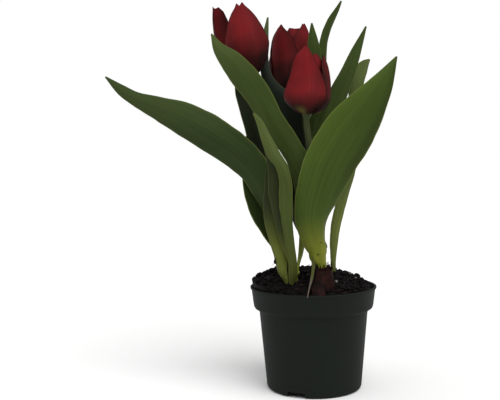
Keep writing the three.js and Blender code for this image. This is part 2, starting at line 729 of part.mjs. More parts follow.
// One margin of a tepal laps over the next tepal and the other margin lies under, unless it is over both of
// its neighbours. Low down, where there is no lap yet, the tepals stay apart.
function tepalSurface(shape) {
  const { radius, height, turn, base, span, heel } = shape;
  const outline = cupOutline(shape);
  const widths = smooth(shape.width.map((share) => [share, 0, 0]));
  const middle = radians(turn);
  return (across, along, face) => {
    const { x: reach, y: rise } = outline.getPoint(along);
    const slope = outline.getTangent(along);
    const normal = new THREE.Vector2(slope.y * height, -slope.x * radius).normalize();
    const halfWidth = radians(span) * radius * widths.getPoint(along).x;
    const distance = Math.max(reach * radius, 2.2);
    const clear = Math.min(1, 3 * along);
    const halfSpan = Math.min(halfWidth / distance, radians(THREE.MathUtils.lerp(heel, span, clear ** 6)));
    const lap = clear * (shape.over ? 1.9 : 0.68 * across);
    const out = distance + lap + (face * TEPAL_THICKNESS * normal.x) / 2;
    const angle = middle + across * halfSpan;
    const up = base + rise * height + (face * TEPAL_THICKNESS * normal.y) / 2;
    return new THREE.Vector3(out * Math.cos(angle), out * Math.sin(angle), up);
  };
}

// Turns a tepal outwards about its foot.
function flareOut(geometry, { turn, start, flare }) {
  const foot = compass(turn).multiplyScalar(start);
  geometry.translate(-foot.x, -foot.y, 0);
  geometry.applyQuaternion(new THREE.Quaternion().setFromAxisAngle(compass(turn + 90), radians(flare)));
  return geometry.translate(foot.x, foot.y, 0);
}

function makeTepal(bloom, ring, number) {
  const height = vector(bloom.crown).distanceTo(vector(bloom.seat));
  const inner = ring === 'inner';
  const cup = { ...CUP, ...bloom.cup };
  const nested = { radius: cup.radius - INNER_STEP, gape: cup.gape - 0.1, span: 60, ...bloom.inner };
  const shape = {
    turn: bloom.turn + 120 * (number - 1) + (inner ? 60 : 0),
    start: inner ? INNER_SEAT : OUTER_SEAT,
    base: inner ? 0.8 : -1.0,
    ...cup,
    ...(inner ? nested : {}),
    ...bloom[`${ring}_${number}`],
  };
  shape.height = height - shape.drop;
  const tepal = thinSheet(...(inner ? INNER_TEPAL_MESH : OUTER_TEPAL_MESH), tepalSurface(shape));
  return seatBloom(flareOut(tepal, shape), bloom);
}

// The seed pod with its stigma, and the six stamens that stand round it: a thread with an anther on top.
function makePistil(bloom) {
  const pod = [[0, 0.35], [2.3, 0.35], [1.9, 3], [2.1, 9], [1.6, 15], [3, 17.2], [2.2, 18.4], [0, 18]];
  let pistil = solid(lathe(pod, 6));
  for (let i = 0; i < 6; i += 1) {
    const stamen = lathe([[0, 0], [0.7, 0], [0.5, 10], [1.1, 11], [0.6, 18.5], [0, 18.5]], 5);
    stamen.rotateY(radians(12));
    stamen.translate(1.9, 0, 0.6);
    pistil = pistil.add(solid(stamen.rotateZ(radians(60 * i + 30))));
  }
  return seatBloom(geometryOf(pistil), bloom);
}

const stemGreen = matt(0x55622f, 0.5);
const petalRed = matt(0x6e1d22, 0.6);
const podGreen = matt(0x8a9a4a, 0.6);

Object.entries(BLOOMS).forEach(([name, bloom]) => {
  add(`stem_${name}`, makeStem(SHOOTS[name], bloom), stemGreen);
  for (const ring of ['outer', 'inner']) {
    for (const number of [1, 2, 3]) {
      add(`tepal_${name}_${ring}_${number}`, makeTepal(bloom, ring, number), petalRed);
    }
  }
  add(`pistil_${name}`, makePistil(bloom), podGreen);
});

// ---------------------------------------------------------------- dry strand at the right bulb

// A dry strip of old sheath that hangs from the collar of the right bulb over the soil to the rim.
const STRAND_ROWS = [
  [-2.6, -40, 124, 2.8, 20, 262],
  [-3, -41.5, 117.5, 2.6, 20, 262],
  [-4.5, -44, 110.5, 2.4, 20, 262],
  [-6.5, -51, 104.5, 1.6, 10, 262],
  [-8, -58.5, 99, 1, 10, 262],
  [-8.5, -61, 96.5, 0.9, 10, 262],
];

add('dry_strand', thinSheet(1, 10, bladeSurface(STRAND_ROWS, [0, 1, 0])), matt(0xa9a566, 0.7));

export default tulip;
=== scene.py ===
# Potted tulip: three dark red tulips and their leaves, grown from three bulbs in a round pot of potting soil.
# Tables of sizes and places are in millimetres; meshes are made in metres. +Z is up and -Y is the front.

import functools
import math
import random

import bmesh
import bpy
from mathutils import Matrix, Vector, noise


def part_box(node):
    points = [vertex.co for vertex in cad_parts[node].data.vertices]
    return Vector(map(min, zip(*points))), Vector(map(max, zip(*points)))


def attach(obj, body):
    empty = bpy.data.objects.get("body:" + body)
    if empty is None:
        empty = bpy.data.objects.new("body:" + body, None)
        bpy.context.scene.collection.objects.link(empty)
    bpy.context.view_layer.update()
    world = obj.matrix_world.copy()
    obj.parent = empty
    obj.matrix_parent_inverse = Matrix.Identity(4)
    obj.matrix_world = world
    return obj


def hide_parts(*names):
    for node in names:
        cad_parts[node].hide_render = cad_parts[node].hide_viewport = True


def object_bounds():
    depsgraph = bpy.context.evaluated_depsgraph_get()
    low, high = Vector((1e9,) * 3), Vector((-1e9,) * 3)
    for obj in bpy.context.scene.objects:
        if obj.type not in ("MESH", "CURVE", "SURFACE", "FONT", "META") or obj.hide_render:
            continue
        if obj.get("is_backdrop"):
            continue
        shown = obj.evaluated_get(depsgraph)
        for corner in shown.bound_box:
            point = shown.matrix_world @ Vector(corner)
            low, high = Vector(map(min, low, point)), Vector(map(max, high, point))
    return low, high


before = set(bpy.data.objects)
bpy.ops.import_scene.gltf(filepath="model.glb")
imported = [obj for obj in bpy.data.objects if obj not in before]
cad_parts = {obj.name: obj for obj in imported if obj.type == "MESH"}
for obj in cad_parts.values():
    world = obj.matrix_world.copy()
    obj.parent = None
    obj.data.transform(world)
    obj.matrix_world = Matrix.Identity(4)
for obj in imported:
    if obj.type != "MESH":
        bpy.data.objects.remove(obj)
cad_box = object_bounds()

# ---------------------------------------------------------------- camera, floor and light
# The plant stands on a wide sheet of white card in a pale room. Broad soft light falls from high at the front
# right, and weaker light from the left and from behind. The camera is a little left of the pot and looks
# slightly down.

MM = 0.001
FRAME_WIDTH = 500       # pixels
FOCAL_LENGTH = 822      # pixels of the same frame
SENSOR_WIDTH = 36.0
CAMERA_PLACE = (-59.0, -780.0, 226.0)
CAMERA_DOWN = 3.37      # degrees below level
CAMERA_ROLL = -0.9      # degrees
CARD_REACH = 20000.0    # from the pot to the card's edges
CARD_DROP = 0.1         # keeps the card clear of the pot's flat underside
CARD_TOOTH = 2.5        # size of the card's fine bumps, coarser than life
ROOM_LIGHT = 0.42       # strength of the room's light on the plant; the room itself shows plain white


def to_linear(hex_colour):
    """A colour written as sRGB hex, as the linear RGBA that a socket takes."""
    shares = [int(hex_colour[i : i + 2], 16) / 255 for i in (1, 3, 5)]
    linear = [s / 12.92 if s <= 0.04045 else ((s + 0.055) / 1.055) ** 2.4 for s in shares]
    return (*linear, 1.0)


def add_node(tree, kind, settings=None, values=None, links=None):
    """Adds a node, sets its properties and sockets, and links other nodes' outputs to its sockets."""
    node = tree.nodes.new(kind)
    for name, value in (settings or {}).items():
        setattr(node, name, value)
    for socket, value in (values or {}).items():
        node.inputs[socket].default_value = value
    for socket, source in (links or {}).items():
        tree.links.new(source, node.inputs[socket])
    return node


def start_material(name, **values):
    """A new material with one Principled shader, whose constant sockets are set from `values`."""
    material = bpy.data.materials.new(name)
    material.use_nodes = True
    tree = material.node_tree
    shader = tree.nodes["Principled BSDF"]
    for socket, value in values.items():
        shader.inputs[socket.replace("_", " ")].default_value = value
    return material, tree, shader


def mottled(tree, size, detail, colours):
    """Two colours mottled in patches about `size` mm across. Gives the colour, its pattern and the place."""
    place = add_node(tree, "ShaderNodeTexCoord")
    pattern = add_node(
        tree,
        "ShaderNodeTexNoise",
        values={"Scale": 1 / (size * MM), "Detail": detail},
        links={"Vector": place.outputs["Object"]},
    )
    colour = add_node(
        tree,
        "ShaderNodeMix",
        settings={"data_type": "RGBA"},
        values={6: to_linear(colours[0]), 7: to_linear(colours[1])},
        links={0: pattern.outputs["Fac"]},
    )
    return colour.outputs[2], pattern.outputs["Fac"], place.outputs["Object"]


def finish_piece(name, bm, material, crease=60):
    """Turns a bmesh into a smooth-shaded object; edges sharper than `crease` degrees stay crisp."""
    mesh = bpy.data.meshes.new(name)
    bm.to_mesh(mesh)
    bm.free()
    mesh.materials.append(material)
    mesh.shade_smooth()
    mesh.set_sharp_from_angle(angle=math.radians(crease))
    piece = bpy.data.objects.new(name, mesh)
    bpy.context.scene.collection.objects.link(piece)
    return piece


def stand_in(piece, node):
    """The piece takes the place of one CAD node and moves with the part."""
    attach(piece, "root")
    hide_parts(node)


camera_data = bpy.data.cameras.new("camera")
camera_data.sensor_width = SENSOR_WIDTH
camera_data.lens = FOCAL_LENGTH / FRAME_WIDTH * SENSOR_WIDTH
camera = bpy.data.objects.new("camera", camera_data)
camera.matrix_world = (
    Matrix.Translation(Vector(CAMERA_PLACE) * MM)
    @ Matrix.Rotation(math.radians(90 - CAMERA_DOWN), 4, "X")
    @ Matrix.Rotation(math.radians(CAMERA_ROLL), 4, "Z")
)
bpy.context.scene.collection.objects.link(camera)
bpy.context.scene.camera = camera
bpy.context.scene.view_settings.view_transform = "Standard"

# Matt white card: even, with the faintest mottle from its tooth.
card, card_tree, card_shader = start_material("matt white card", Roughness=0.9, Specular_IOR_Level=0.1)
card_colour = mottled(card_tree, CARD_TOOTH, 2.0, ("#fefefe", "#fcfcfb"))[0]
card_tree.links.new(card_colour, card_shader.inputs["Base Color"])

floor_bm = bmesh.new()
bmesh.ops.create_grid(floor_bm, x_segments=1, y_segments=1, size=CARD_REACH * MM)
bmesh.ops.translate(floor_bm, vec=(0, 0, -CARD_DROP * MM), verts=floor_bm.verts[:])
floor = finish_piece("floor", floor_bm, card)
floor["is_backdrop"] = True

world = bpy.data.worlds.new("pale room")
bpy.context.scene.world = world
world.use_nodes = True
world_tree = world.node_tree
background = world_tree.nodes["Background"]
background.inputs["Color"].default_value = (1.0, 1.0, 1.0, 1.0)
seen = add_node(world_tree, "ShaderNodeLightPath")
brightness = add_node(
    world_tree,
    "ShaderNodeMapRange",
    values={"To Min": ROOM_LIGHT, "To Max": 1.0},
    links={"Value": seen.outputs["Is Camera Ray"]},
)
world_tree.links.new(brightness.outputs["Result"], background.inputs["Strength"])


def add_window(name, place, spread, power):
    """Broad soft light from far off, in the direction of `place`; `spread` is its angle in degrees."""
    lamp = bpy.data.lights.new(name, "SUN")
    lamp.energy = power
    lamp.angle = math.radians(spread)
    window = bpy.data.objects.new(name, lamp)
    window.matrix_world = (-Vector(place)).to_track_quat("-Z", "Y").to_matrix().to_4x4()
    bpy.context.scene.collection.objects.link(window)


add_window("window front right", (0.62, -1.0, 1.5), 50, 2.1)
add_window("window left", (-1.3, -0.5, 0.9), 70, 0.5)
add_window("window behind", (-0.5, 1.3, 0.9), 90, 0.4)

# ---------------------------------------------------------------- pot
# A thin-walled grower's pot, injection moulded in polypropylene: a deep collar round the rim, a tapering
# body, a rounded foot, and three drain notches in the foot, each under a small roof with a hole in it.

pot_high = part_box("pot")[1]
POT_HEIGHT = pot_high.z / MM
RIM_RADIUS = pot_high.x / MM
BAND_HEIGHT = 20.0
SHOULDER = POT_HEIGHT - BAND_HEIGHT
BODY_TOP_RADIUS = 51.7
FOOT_RADIUS = 45.3
POT_WALL = 1.3
POT_FLOOR = 1.6
DRAIN_TURNS = (-116, 4, 124)    # compass angles of the notches, in degrees
DRAIN_WIDTH = 17.0
DRAIN_HEIGHT = 5.2
DRAIN_INNER = 28.0              # from the pot's axis to a notch's inner end
DRAIN_HOLE_REACH = 36.0         # from the axis to the middle of the hole in a notch's roof
DRAIN_HOLE_RADIUS = 4.5
ROOF_WALL = 1.5
ROOF_PAST_FOOT = 3.0            # how far the bar for a roof reaches past the foot before it is trimmed
NOTCH_PAST_FOOT = 8.0           # how far the bar that cuts a notch reaches past the foot
POT_STEPS = 144
PLASTIC_CLOUD = 35.7            # width of the clouds in the plastic's tint
DUST_SPECK = 2.38               # spacing of the dust specks
MOULD_GRAIN = 1.11              # the mould's grain, several times coarser than life so that it shows

# Radius and height, from the middle of the underside up the outside, over the rim and down the inside.
POT_PROFILE = [
    (0, 0), (41.2, 0), (42.4, 0.12), (43.4, 0.45), (44.3, 1.1), (44.9, 2.0), (FOOT_RADIUS, 3.4),
    (BODY_TOP_RADIUS - 0.1, SHOULDER - 3.0), (52.2, SHOULDER - 2.1), (53.2, SHOULDER - 1.6),
    (54.6, SHOULDER - 1.0), (55.8, SHOULDER - 0.2), (56.6, SHOULDER + 1.0), (57.0, SHOULDER + 2.6),
    (58.9, POT_HEIGHT - 2.4), (59.3, POT_HEIGHT - 2.0), (RIM_RADIUS - 0.1, POT_HEIGHT - 1.6),
    (RIM_RADIUS, POT_HEIGHT - 1.2), (RIM_RADIUS, POT_HEIGHT - 0.5), (RIM_RADIUS - 0.2, POT_HEIGHT - 0.15),
    (RIM_RADIUS - 0.6, POT_HEIGHT), (58.3, POT_HEIGHT), (57.9, POT_HEIGHT - 0.3), (57.6, POT_HEIGHT - 1.4),
    (57 - POT_WALL, SHOULDER + 3.2), (54.6, SHOULDER + 1.4), (BODY_TOP_RADIUS - POT_WALL, SHOULDER + 0.6),
    (FOOT_RADIUS - POT_WALL, 4.4), (FOOT_RADIUS - 2.8, POT_FLOOR), (0, POT_FLOOR),
]


def turned(profile, steps):
    """A closed shape turned round the Z axis. The profile starts and ends on the axis."""
    bm = bmesh.new()
    points = [bm.verts.new((radius * MM, 0, height * MM)) for radius, height in profile]
    edges = [bm.edges.new(pair) for pair in zip(points, points[1:])]
    bmesh.ops.spin(
        bm,
        geom=points + edges,
        cent=(0, 0, 0),
        axis=(0, 0, 1),
        angle=math.tau,
        steps=steps,
        use_merge=True,
    )
    bmesh.ops.remove_doubles(bm, verts=bm.verts[:], dist=0.001 * MM)
    bmesh.ops.recalc_face_normals(bm, faces=bm.faces[:])
    return bm


def combined(first, second, operation):
    """Joins, cuts or trims one closed bmesh with another."""
    objects = []
    for bm in (first, second):
        mesh = bpy.data.meshes.new("shape")
        bm.to_mesh(mesh)
        bm.free()
        shape = bpy.data.objects.new("shape", mesh)
        bpy.context.scene.collection.objects.link(shape)
        objects.append(shape)
    cutter = objects[0].modifiers.new("cutter", "BOOLEAN")
    cutter.operation = operation
    cutter.solver = "MANIFOLD"
    cutter.object = objects[1]
    bpy.context.view_layer.update()
    result = bmesh.new()
    result.from_object(objects[0], bpy.context.evaluated_depsgraph_get())
    for shape in objects:
        mesh = shape.data
        bpy.data.objects.remove(shape)
        bpy.data.meshes.remove(mesh)
    return result


def drain_bars(width, low, high, inner, outer):
    """One bar for each drain, which reaches outwards from `inner` to `outer`."""
    bm = bmesh.new()
    for turn in DRAIN_TURNS:
        matrix = (
            Matrix.Rotation(math.radians(turn), 4, "Z")
            @ Matrix.Translation(Vector(((inner + outer) / 2, 0, (low + high) / 2)) * MM)
            @ Matrix.Diagonal((*(Vector((outer - inner, width, high - low)) * MM), 1))
        )
        bmesh.ops.create_cube(bm, size=1.0, matrix=matrix)
    return bm


def drain_holes():
    """One upright cylinder for the hole in each drain's roof."""
    bm = bmesh.new()
    for turn in DRAIN_TURNS:
        centre = Matrix.Translation(Vector((DRAIN_HOLE_REACH, 0, DRAIN_HEIGHT + ROOF_WALL)) * MM)
        bmesh.ops.create_cone(
            bm,
            cap_ends=True,
            segments=32,
            radius1=DRAIN_HOLE_RADIUS * MM,
            radius2=DRAIN_HOLE_RADIUS * MM,
            depth=3 * POT_FLOOR * MM,
            matrix=Matrix.Rotation(math.radians(turn), 4, "Z") @ centre,
        )
    return bm


body_skin = [*POT_PROFILE[:8], (BODY_TOP_RADIUS - 0.1, SHOULDER), (0, SHOULDER)]
roofs = drain_bars(
    DRAIN_WIDTH + 2 * ROOF_WALL,
    0,
    DRAIN_HEIGHT + ROOF_WALL,
    DRAIN_INNER - ROOF_WALL,
    FOOT_RADIUS + ROOF_PAST_FOOT,
)
roofs = combined(roofs, turned(body_skin, POT_STEPS), "INTERSECT")
pot_bm = combined(turned(POT_PROFILE, POT_STEPS), roofs, "UNION")
notches = drain_bars(DRAIN_WIDTH, -DRAIN_HEIGHT, DRAIN_HEIGHT, DRAIN_INNER, FOOT_RADIUS + NOTCH_PAST_FOOT)
pot_bm = combined(pot_bm, notches, "DIFFERENCE")
pot_bm = combined(pot_bm, drain_holes(), "DIFFERENCE")

# Moulded polypropylene, tinted dark grey-green: satin from the mould's fine grain, faintly clouded where the
# melt flowed, with a dust of dry soil that settles in scattered specks.
plastic, tree, shader = start_material("moulded polypropylene", IOR=1.49, Specular_IOR_Level=0.06)
tinted, clouds, place = mottled(tree, PLASTIC_CLOUD, 4.0, ("#171b18", "#1c211d"))
specks = add_node(
    tree,
    "ShaderNodeTexNoise",
    values={"Scale": 1 / (DUST_SPECK * MM), "Detail": 1.0},
    links={"Vector": place},
)
dust = add_node(
    tree,
    "ShaderNodeMapRange",
    values={"From Min": 0.72, "From Max": 0.82, "To Max": 0.35},
    links={"Value": specks.outputs["Fac"]},
)
dusted = add_node(
    tree,
    "ShaderNodeMix",
    settings={"data_type": "RGBA"},
    values={7: to_linear("#332f2b")},
    links={0: dust.outputs["Result"], 6: tinted},
)
tree.links.new(dusted.outputs[2], shader.inputs["Base Color"])
gloss = add_node(
    tree, "ShaderNodeMapRange", values={"To Min": 0.52, "To Max": 0.68}, links={"Value": clouds}
)
tree.links.new(gloss.outputs["Result"], shader.inputs["Roughness"])
grain = add_node(
    tree,
    "ShaderNodeTexNoise",
    values={"Scale": 1 / (MOULD_GRAIN * MM), "Detail": 2.0},
    links={"Vector": place},
)
relief = add_node(
    tree,
    "ShaderNodeBump",
    values={"Strength": 0.12, "Distance": 0.2 * MM},
    links={"Height": grain.outputs["Fac"]},
)
tree.links.new(relief.outputs["Normal"], shader.inputs["Normal"])

pot = finish_piece("grower_pot", pot_bm, plastic, crease=38)
stand_in(pot, "pot")

# ---------------------------------------------------------------- bulbs
# Each bulb is a fat onion shape inside papery brown skins, which split and stand ragged round the shoot. Only
# the right one stands out of the soil; the other two are buried.

# A shoot starts at its `foot`, in the bore of its bulb's collar, and leans towards `collar`, up to where its
# leaves clasp it. `slim` narrows a bulb from left to right.
SHOOTS = {
    "left": {"foot": (-21.5, -24.5, 79), "collar": (-23, -30, 105)},
    "back": {"foot": (6.5, 13, 91), "collar": (6.5, 12.5, 116)},
    "right": {"foot": (4, -32, 114.9), "collar": (3.5, -32, 123), "slim": 0.84},
}
BULB_HEIGHT = 44.0
BULB_RADIUS = 16.5
BULB_STEPS = (96, 44)   # round the bulb and up it
BULB_FLATNESS = 0.03    # share of its radius that a bulb's two flatter sides lose
RIB_COUNT = 17
RIB_SHARE = 0.006       # height of the ribs as a share of the radius
NECK_DEPTH = 9.0        # from the top down to where the bulb's round body starts
COLLAR_RADIUS = 7.5
COLLAR_BORE = 6.5
COLLAR_DEPTH = 4.0
COLLAR_TEAR = 1.5       # how far the collar's edge is torn up and down
FIT_GAP = 0.4
SKIN_THICKNESS = 0.22
SKIN_LIFT = 0.65        # how far the loose outer skin stands off the bulb
SKIN_SPAN = (0.34, 1.02)    # from where to where it covers the bulb's outline, as shares of it
TEAR_REACH = 0.12       # share of the skin's height that counts as its torn edge
POINT_RISE = 3.6        # how far its longest torn points stand above the bulb
LOOSE_SKIN_SQUARES = (180, 56)
TUNIC_FIBRE = 1.54      # spacing of the tunic's fibres, coarser than life so that they show
TUNIC_FIBRE_STRETCH = 0.16
DAMP_PATCH = 10.5       # width of the damp patches

# Radius and height, from the middle of the underside up to the collar.
BULB_OUTLINE = [
    (0, 0), (6.5, -0.6), (8.5, 1.2), (13.2, 5.5), (15.8, 11.5), (BULB_RADIUS, 17.5),
    (15.6, 24), (13.4, 31), (10.4, 37), (8.1, 41.5), (COLLAR_RADIUS, BULB_HEIGHT + 0.6),
]


def smooth(rows):
    """A smooth curve through rows of numbers, as a centripetal spline. Gives the row at a share of it."""
    points = [Vector(row) for row in rows]
    points = [2 * points[0] - points[1], *points, 2 * points[-1] - points[-2]]
    spans = len(points) - 3

    def at(share):
        along = min(max(share, 0.0), 1.0) * spans
        first = min(int(along), spans - 1)
        t = along - first
        before, start, end, after = points[first : first + 4]
        gaps = [math.sqrt((b - a).length) for a, b in ((before, start), (start, end), (end, after))]
        middle = gaps[1] if gaps[1] > 1e-4 else 1.0
        before_gap, after_gap = [gap if gap > 1e-4 else middle for gap in (gaps[0], gaps[2])]
        leave = (start - before) / before_gap - (end - before) / (before_gap + middle)
        leave = (leave + (end - start) / middle) * middle
        arrive = (end - start) / middle - (after - start) / (middle + after_gap)
        arrive = (arrive + (after - end) / after_gap) * middle
        return (
            start
            + leave * t
            + (3 * (end - start) - 2 * leave - arrive) * t**2
            + (2 * (start - end) + leave + arrive) * t**3
        )

    return at


def heading(curve, share):
    """The direction of a smooth curve at a share of its length."""
    return (curve(share + 0.0001) - curve(share - 0.0001)).normalized()


def shoot_axis(shoot):
    """The direction in which a shoot leaves its bulb."""
    return (Vector(shoot["collar"]) - Vector(shoot["foot"])).normalized()


def seat_bulb(shoot):
    """The matrix that puts a bulb made round +Z under its shoot, leaning the same way."""
    lean = Vector((0, 0, 1)).rotation_difference(shoot_axis(shoot)).to_matrix().to_4x4()
    drop = Matrix.Translation((0, 0, (COLLAR_DEPTH - BULB_HEIGHT - FIT_GAP) * MM))
    return Matrix.Translation(Vector(shoot["foot"]) * MM) @ lean @ drop


def fade(value, start, end):
    """0 before `start`, 1 after `end`, and a smooth step between them."""
    share = min(max((value - start) / (end - start), 0.0), 1.0)
    return share * share * (3 - 2 * share)


bulb_outline = smooth([(radius, height, 0) for radius, height in BULB_OUTLINE])


def make_bulb(shoot, seed):
    """A bulb with two flatter sides and faint ribs, and a collar with a torn edge, bored for the shoot."""
    round_it, up_it = BULB_STEPS
    outline = [bulb_outline(i / up_it) for i in range(up_it + 1)]
    profile = [(max(point.x, 0), point.y) for point in outline]
    profile += [(COLLAR_BORE, BULB_HEIGHT + 0.2), (COLLAR_BORE - 0.1, BULB_HEIGHT - COLLAR_DEPTH)]
    profile += [(0, BULB_HEIGHT - COLLAR_DEPTH)]
    bm = turned(profile, round_it)
    neck_foot = BULB_HEIGHT - NECK_DEPTH
    for vertex in bm.verts:
        height = vertex.co.z / MM
        around = math.atan2(vertex.co.y, vertex.co.x) + seed
        swell = 1 - BULB_FLATNESS * (1 + math.sin(2 * around)) if height < neck_foot else 1
        weaving = 2 * math.sin(height / 6)
        ribs = RIB_SHARE * math.sin(RIB_COUNT * around + weaving) * min(1, vertex.co.xy.length / (6 * MM))
        vertex.co.xy *= swell + ribs
        body = 1 - fade(height, neck_foot, BULB_HEIGHT - 3)
        vertex.co.x *= 1 + (shoot.get("slim", 1) - 1) * body
        if height > BULB_HEIGHT - 1:
            ring = Vector((3 * math.cos(around), 3 * math.sin(around), seed))
            vertex.co.z += COLLAR_TEAR * MM * noise.noise(ring)
    bm.transform(seat_bulb(shoot))
    return bm


def make_loose_skin(shoot, seed):
    """A papery layer round the upper bulb, torn into points along its top edge, which curl outwards."""
    bm = bmesh.new()
    bmesh.ops.create_grid(bm, x_segments=LOOSE_SKIN_SQUARES[0], y_segments=LOOSE_SKIN_SQUARES[1], size=1.0)
    edge = bm.verts.layers.float.new("edge")
    lowest, highest = SKIN_SPAN
    torn = []
    for vertex in bm.verts:
        around = math.pi * vertex.co.x
        share = (vertex.co.y + 1) / 2
        ring = Vector((math.cos(around), math.sin(around), 0))
        # The torn edge rises and falls slowly, with sharp points on it.
        tear = 0.5 + 0.5 * noise.fractal(ring * 3.1 + Vector((0, 0, seed)), 0.8, 2.2, 4)
        points = abs(noise.noise(ring * 6.7 + Vector((0, 0, seed + 5))))
        top = 0.79 + 0.14 * tear + 0.34 * points
        if share > top:
            torn.append(vertex)
        outline = bulb_outline(lowest + (highest - lowest) * share)
        swell = 1 - BULB_FLATNESS * (1 + math.sin(2 * (around + seed)))
        near_edge = max(0.0, 1 - (top - share) / TEAR_REACH) if share <= top else 1.0
        pucker = 0.3 * noise.noise(ring * 5 + Vector((0, 0, 3 * share + seed)))
        stand_off = 3.4 * fade(share, 0.3, 0.95) * (0.35 + 0.65 * max(0.0, math.cos(around)))
        curl = 1.3 * near_edge**2 * tear
        reach = outline.x * swell + SKIN_LIFT + pucker + stand_off + curl
        rise = POINT_RISE * fade(share, 0.84, 1.0)
        vertex.co = (ring * reach + Vector((0, 0, outline.y + rise))) * MM
        vertex.co.x *= 1 + (shoot.get("slim", 1) - 1) * (1 - fade(share, 0.5, 1.0))
        vertex[edge] = near_edge
    bmesh.ops.delete(bm, geom=torn, context="VERTS")
    strays = [line for line in bm.edges if line.is_wire]
    bmesh.ops.delete(bm, geom=strays, context="EDGES")
    strays = [point for point in bm.verts if not point.link_faces]
    bmesh.ops.delete(bm, geom=strays, context="VERTS")
    bmesh.ops.remove_doubles(bm, verts=bm.verts[:], dist=0.01 * MM)
    bmesh.ops.recalc_face_normals(bm, faces=bm.faces[:])
    bmesh.ops.solidify(bm, geom=bm.faces[:], thickness=SKIN_THICKNESS * MM)
    bm.transform(seat_bulb(shoot))
    return bm


# Dry tulip tunic: thin chestnut-brown paper, nearly matt, with lengthwise fibres, dark damp patches and a
# darker torn edge.
tunic, tree, shader = start_material("dry bulb tunic", Roughness=0.65, IOR=1.45, Specular_IOR_Level=0.06)
place = add_node(tree, "ShaderNodeTexCoord")
stretched = add_node(
    tree,
    "ShaderNodeMapping",
    values={"Scale": (1.0, 1.0, TUNIC_FIBRE_STRETCH)},
    links={"Vector": place.outputs["Object"]},
)
fibres = add_node(
    tree,
    "ShaderNodeTexNoise",
    values={"Scale": 1 / (TUNIC_FIBRE * MM), "Detail": 4.0},
    links={"Vector": stretched.outputs["Vector"]},
)
patches = add_node(
    tree,
    "ShaderNodeTexNoise",
    values={"Scale": 1 / (DAMP_PATCH * MM), "Detail": 3.0},
    links={"Vector": place.outputs["Object"]},
)
patch_edge = add_node(
    tree,
    "ShaderNodeMapRange",
    values={"From Min": 0.4, "From Max": 0.64},
    links={"Value": patches.outputs["Fac"]},
)
brown = add_node(
    tree,
    "ShaderNodeMix",
    settings={"data_type": "RGBA"},
    values={6: to_linear("#0f0908"), 7: to_linear("#2e1511")},
    links={0: patch_edge.outputs["Result"]},
)
fibre_edge = add_node(
    tree,
    "ShaderNodeMapRange",
    values={"From Min": 0.35, "From Max": 0.7, "To Max": 0.6},
    links={"Value": fibres.outputs["Fac"]},
)
fibrous = add_node(
    tree,
    "ShaderNodeMix",
    settings={"data_type": "RGBA"},
    values={7: to_linear("#0c0706")},
    links={0: fibre_edge.outputs["Result"], 6: brown.outputs[2]},
)
torn_edge = add_node(tree, "ShaderNodeAttribute", settings={"attribute_name": "edge"})
dark_edge = add_node(
    tree,
    "ShaderNodeMix",
    settings={"data_type": "RGBA"},
    values={7: to_linear("#0a0605")},
    links={0: torn_edge.outputs["Fac"], 6: fibrous.outputs[2]},
)
tree.links.new(dark_edge.outputs[2], shader.inputs["Base Color"])
relief = add_node(
    tree,
    "ShaderNodeBump",
    values={"Strength": 0.5, "Distance": 0.25 * MM},
    links={"Height": fibres.outputs["Fac"]},
)
tree.links.new(relief.outputs["Normal"], shader.inputs["Normal"])

for seed, (name, shoot) in enumerate(SHOOTS.items()):
    bulb = finish_piece(f"{name}_bulb", make_bulb(shoot, seed), tunic)
    stand_in(bulb, f"bulb_{name}")
    loose_skin = finish_piece(f"{name}_bulb_loose_skin", make_loose_skin(shoot, seed + 3), tunic)
    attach(loose_skin, "root")

# ---------------------------------------------------------------- soil
# Damp peat potting soil, heaped above the rim at the left and the back. It is crumbly: a ground of fine peat,
# loose crumbs of many sizes on it, chips of composted bark, and a few white grains of perlite.

SOIL_PEAK = 112.5
SOIL_RADIUS = 57.0      # of the heap where it meets the rim
SOIL_TOP = 500.0        # marks the points of the profile that take the soil's height
SOIL_STEPS = (200, 62)  # round the heap and in from its edge
CRUMB_COUNT = 1300
BULB_CRUMB_COUNT = 130
BULB_CRUMB_CENTRE = (4.5, -32)
BULB_CRUMB_RING = (12.0, 17.5)      # radii between which crumbs lie round the right bulb
CHIP_COUNT = 70
CLOD_COUNT = 64
CLOD_ARC = (10, 225)    # compass angles between which the clods lie
CLOD_RING = (36, 54)    # radii between which they lie
PEAT_CLOD = 3.03        # spacing of the peat's small clods in its colour and relief
BARK_MOTTLE = 1.92      # spacing of the bark's mottles, coarser than its fibres so that they show
PERLITE_STAIN = 1.67    # spacing of the stains on the perlite
NOISE_SEED = 7          # for noise.noise_vector, which would change from run to run without one

# The larger bark chips, and the perlite grains with their half sizes.
BARK_PLACES = [(-13.5, -40.1), (-43.4, -21.0), (21.2, -41.6), (30.1, -35.4), (25.5, -44.0)]
PERLITE_PLACES = [
    (-3.7, -9.3, 1.1), (-6.5, -20.9, 0.8), (35.4, 2.6, 1.5), (39.8, -7.4, 1.0), (19.5, -28.3, 1.3),
    (-28.0, 21.0, 1.1), (12.0, 38.0, 1.4), (-8.0, 44.0, 0.9), (43.0, 22.0, 1.2), (-45.0, 8.0, 0.8),
    (24.0, 20.0, 1.0), (-15.0, 6.0, 1.2),
]


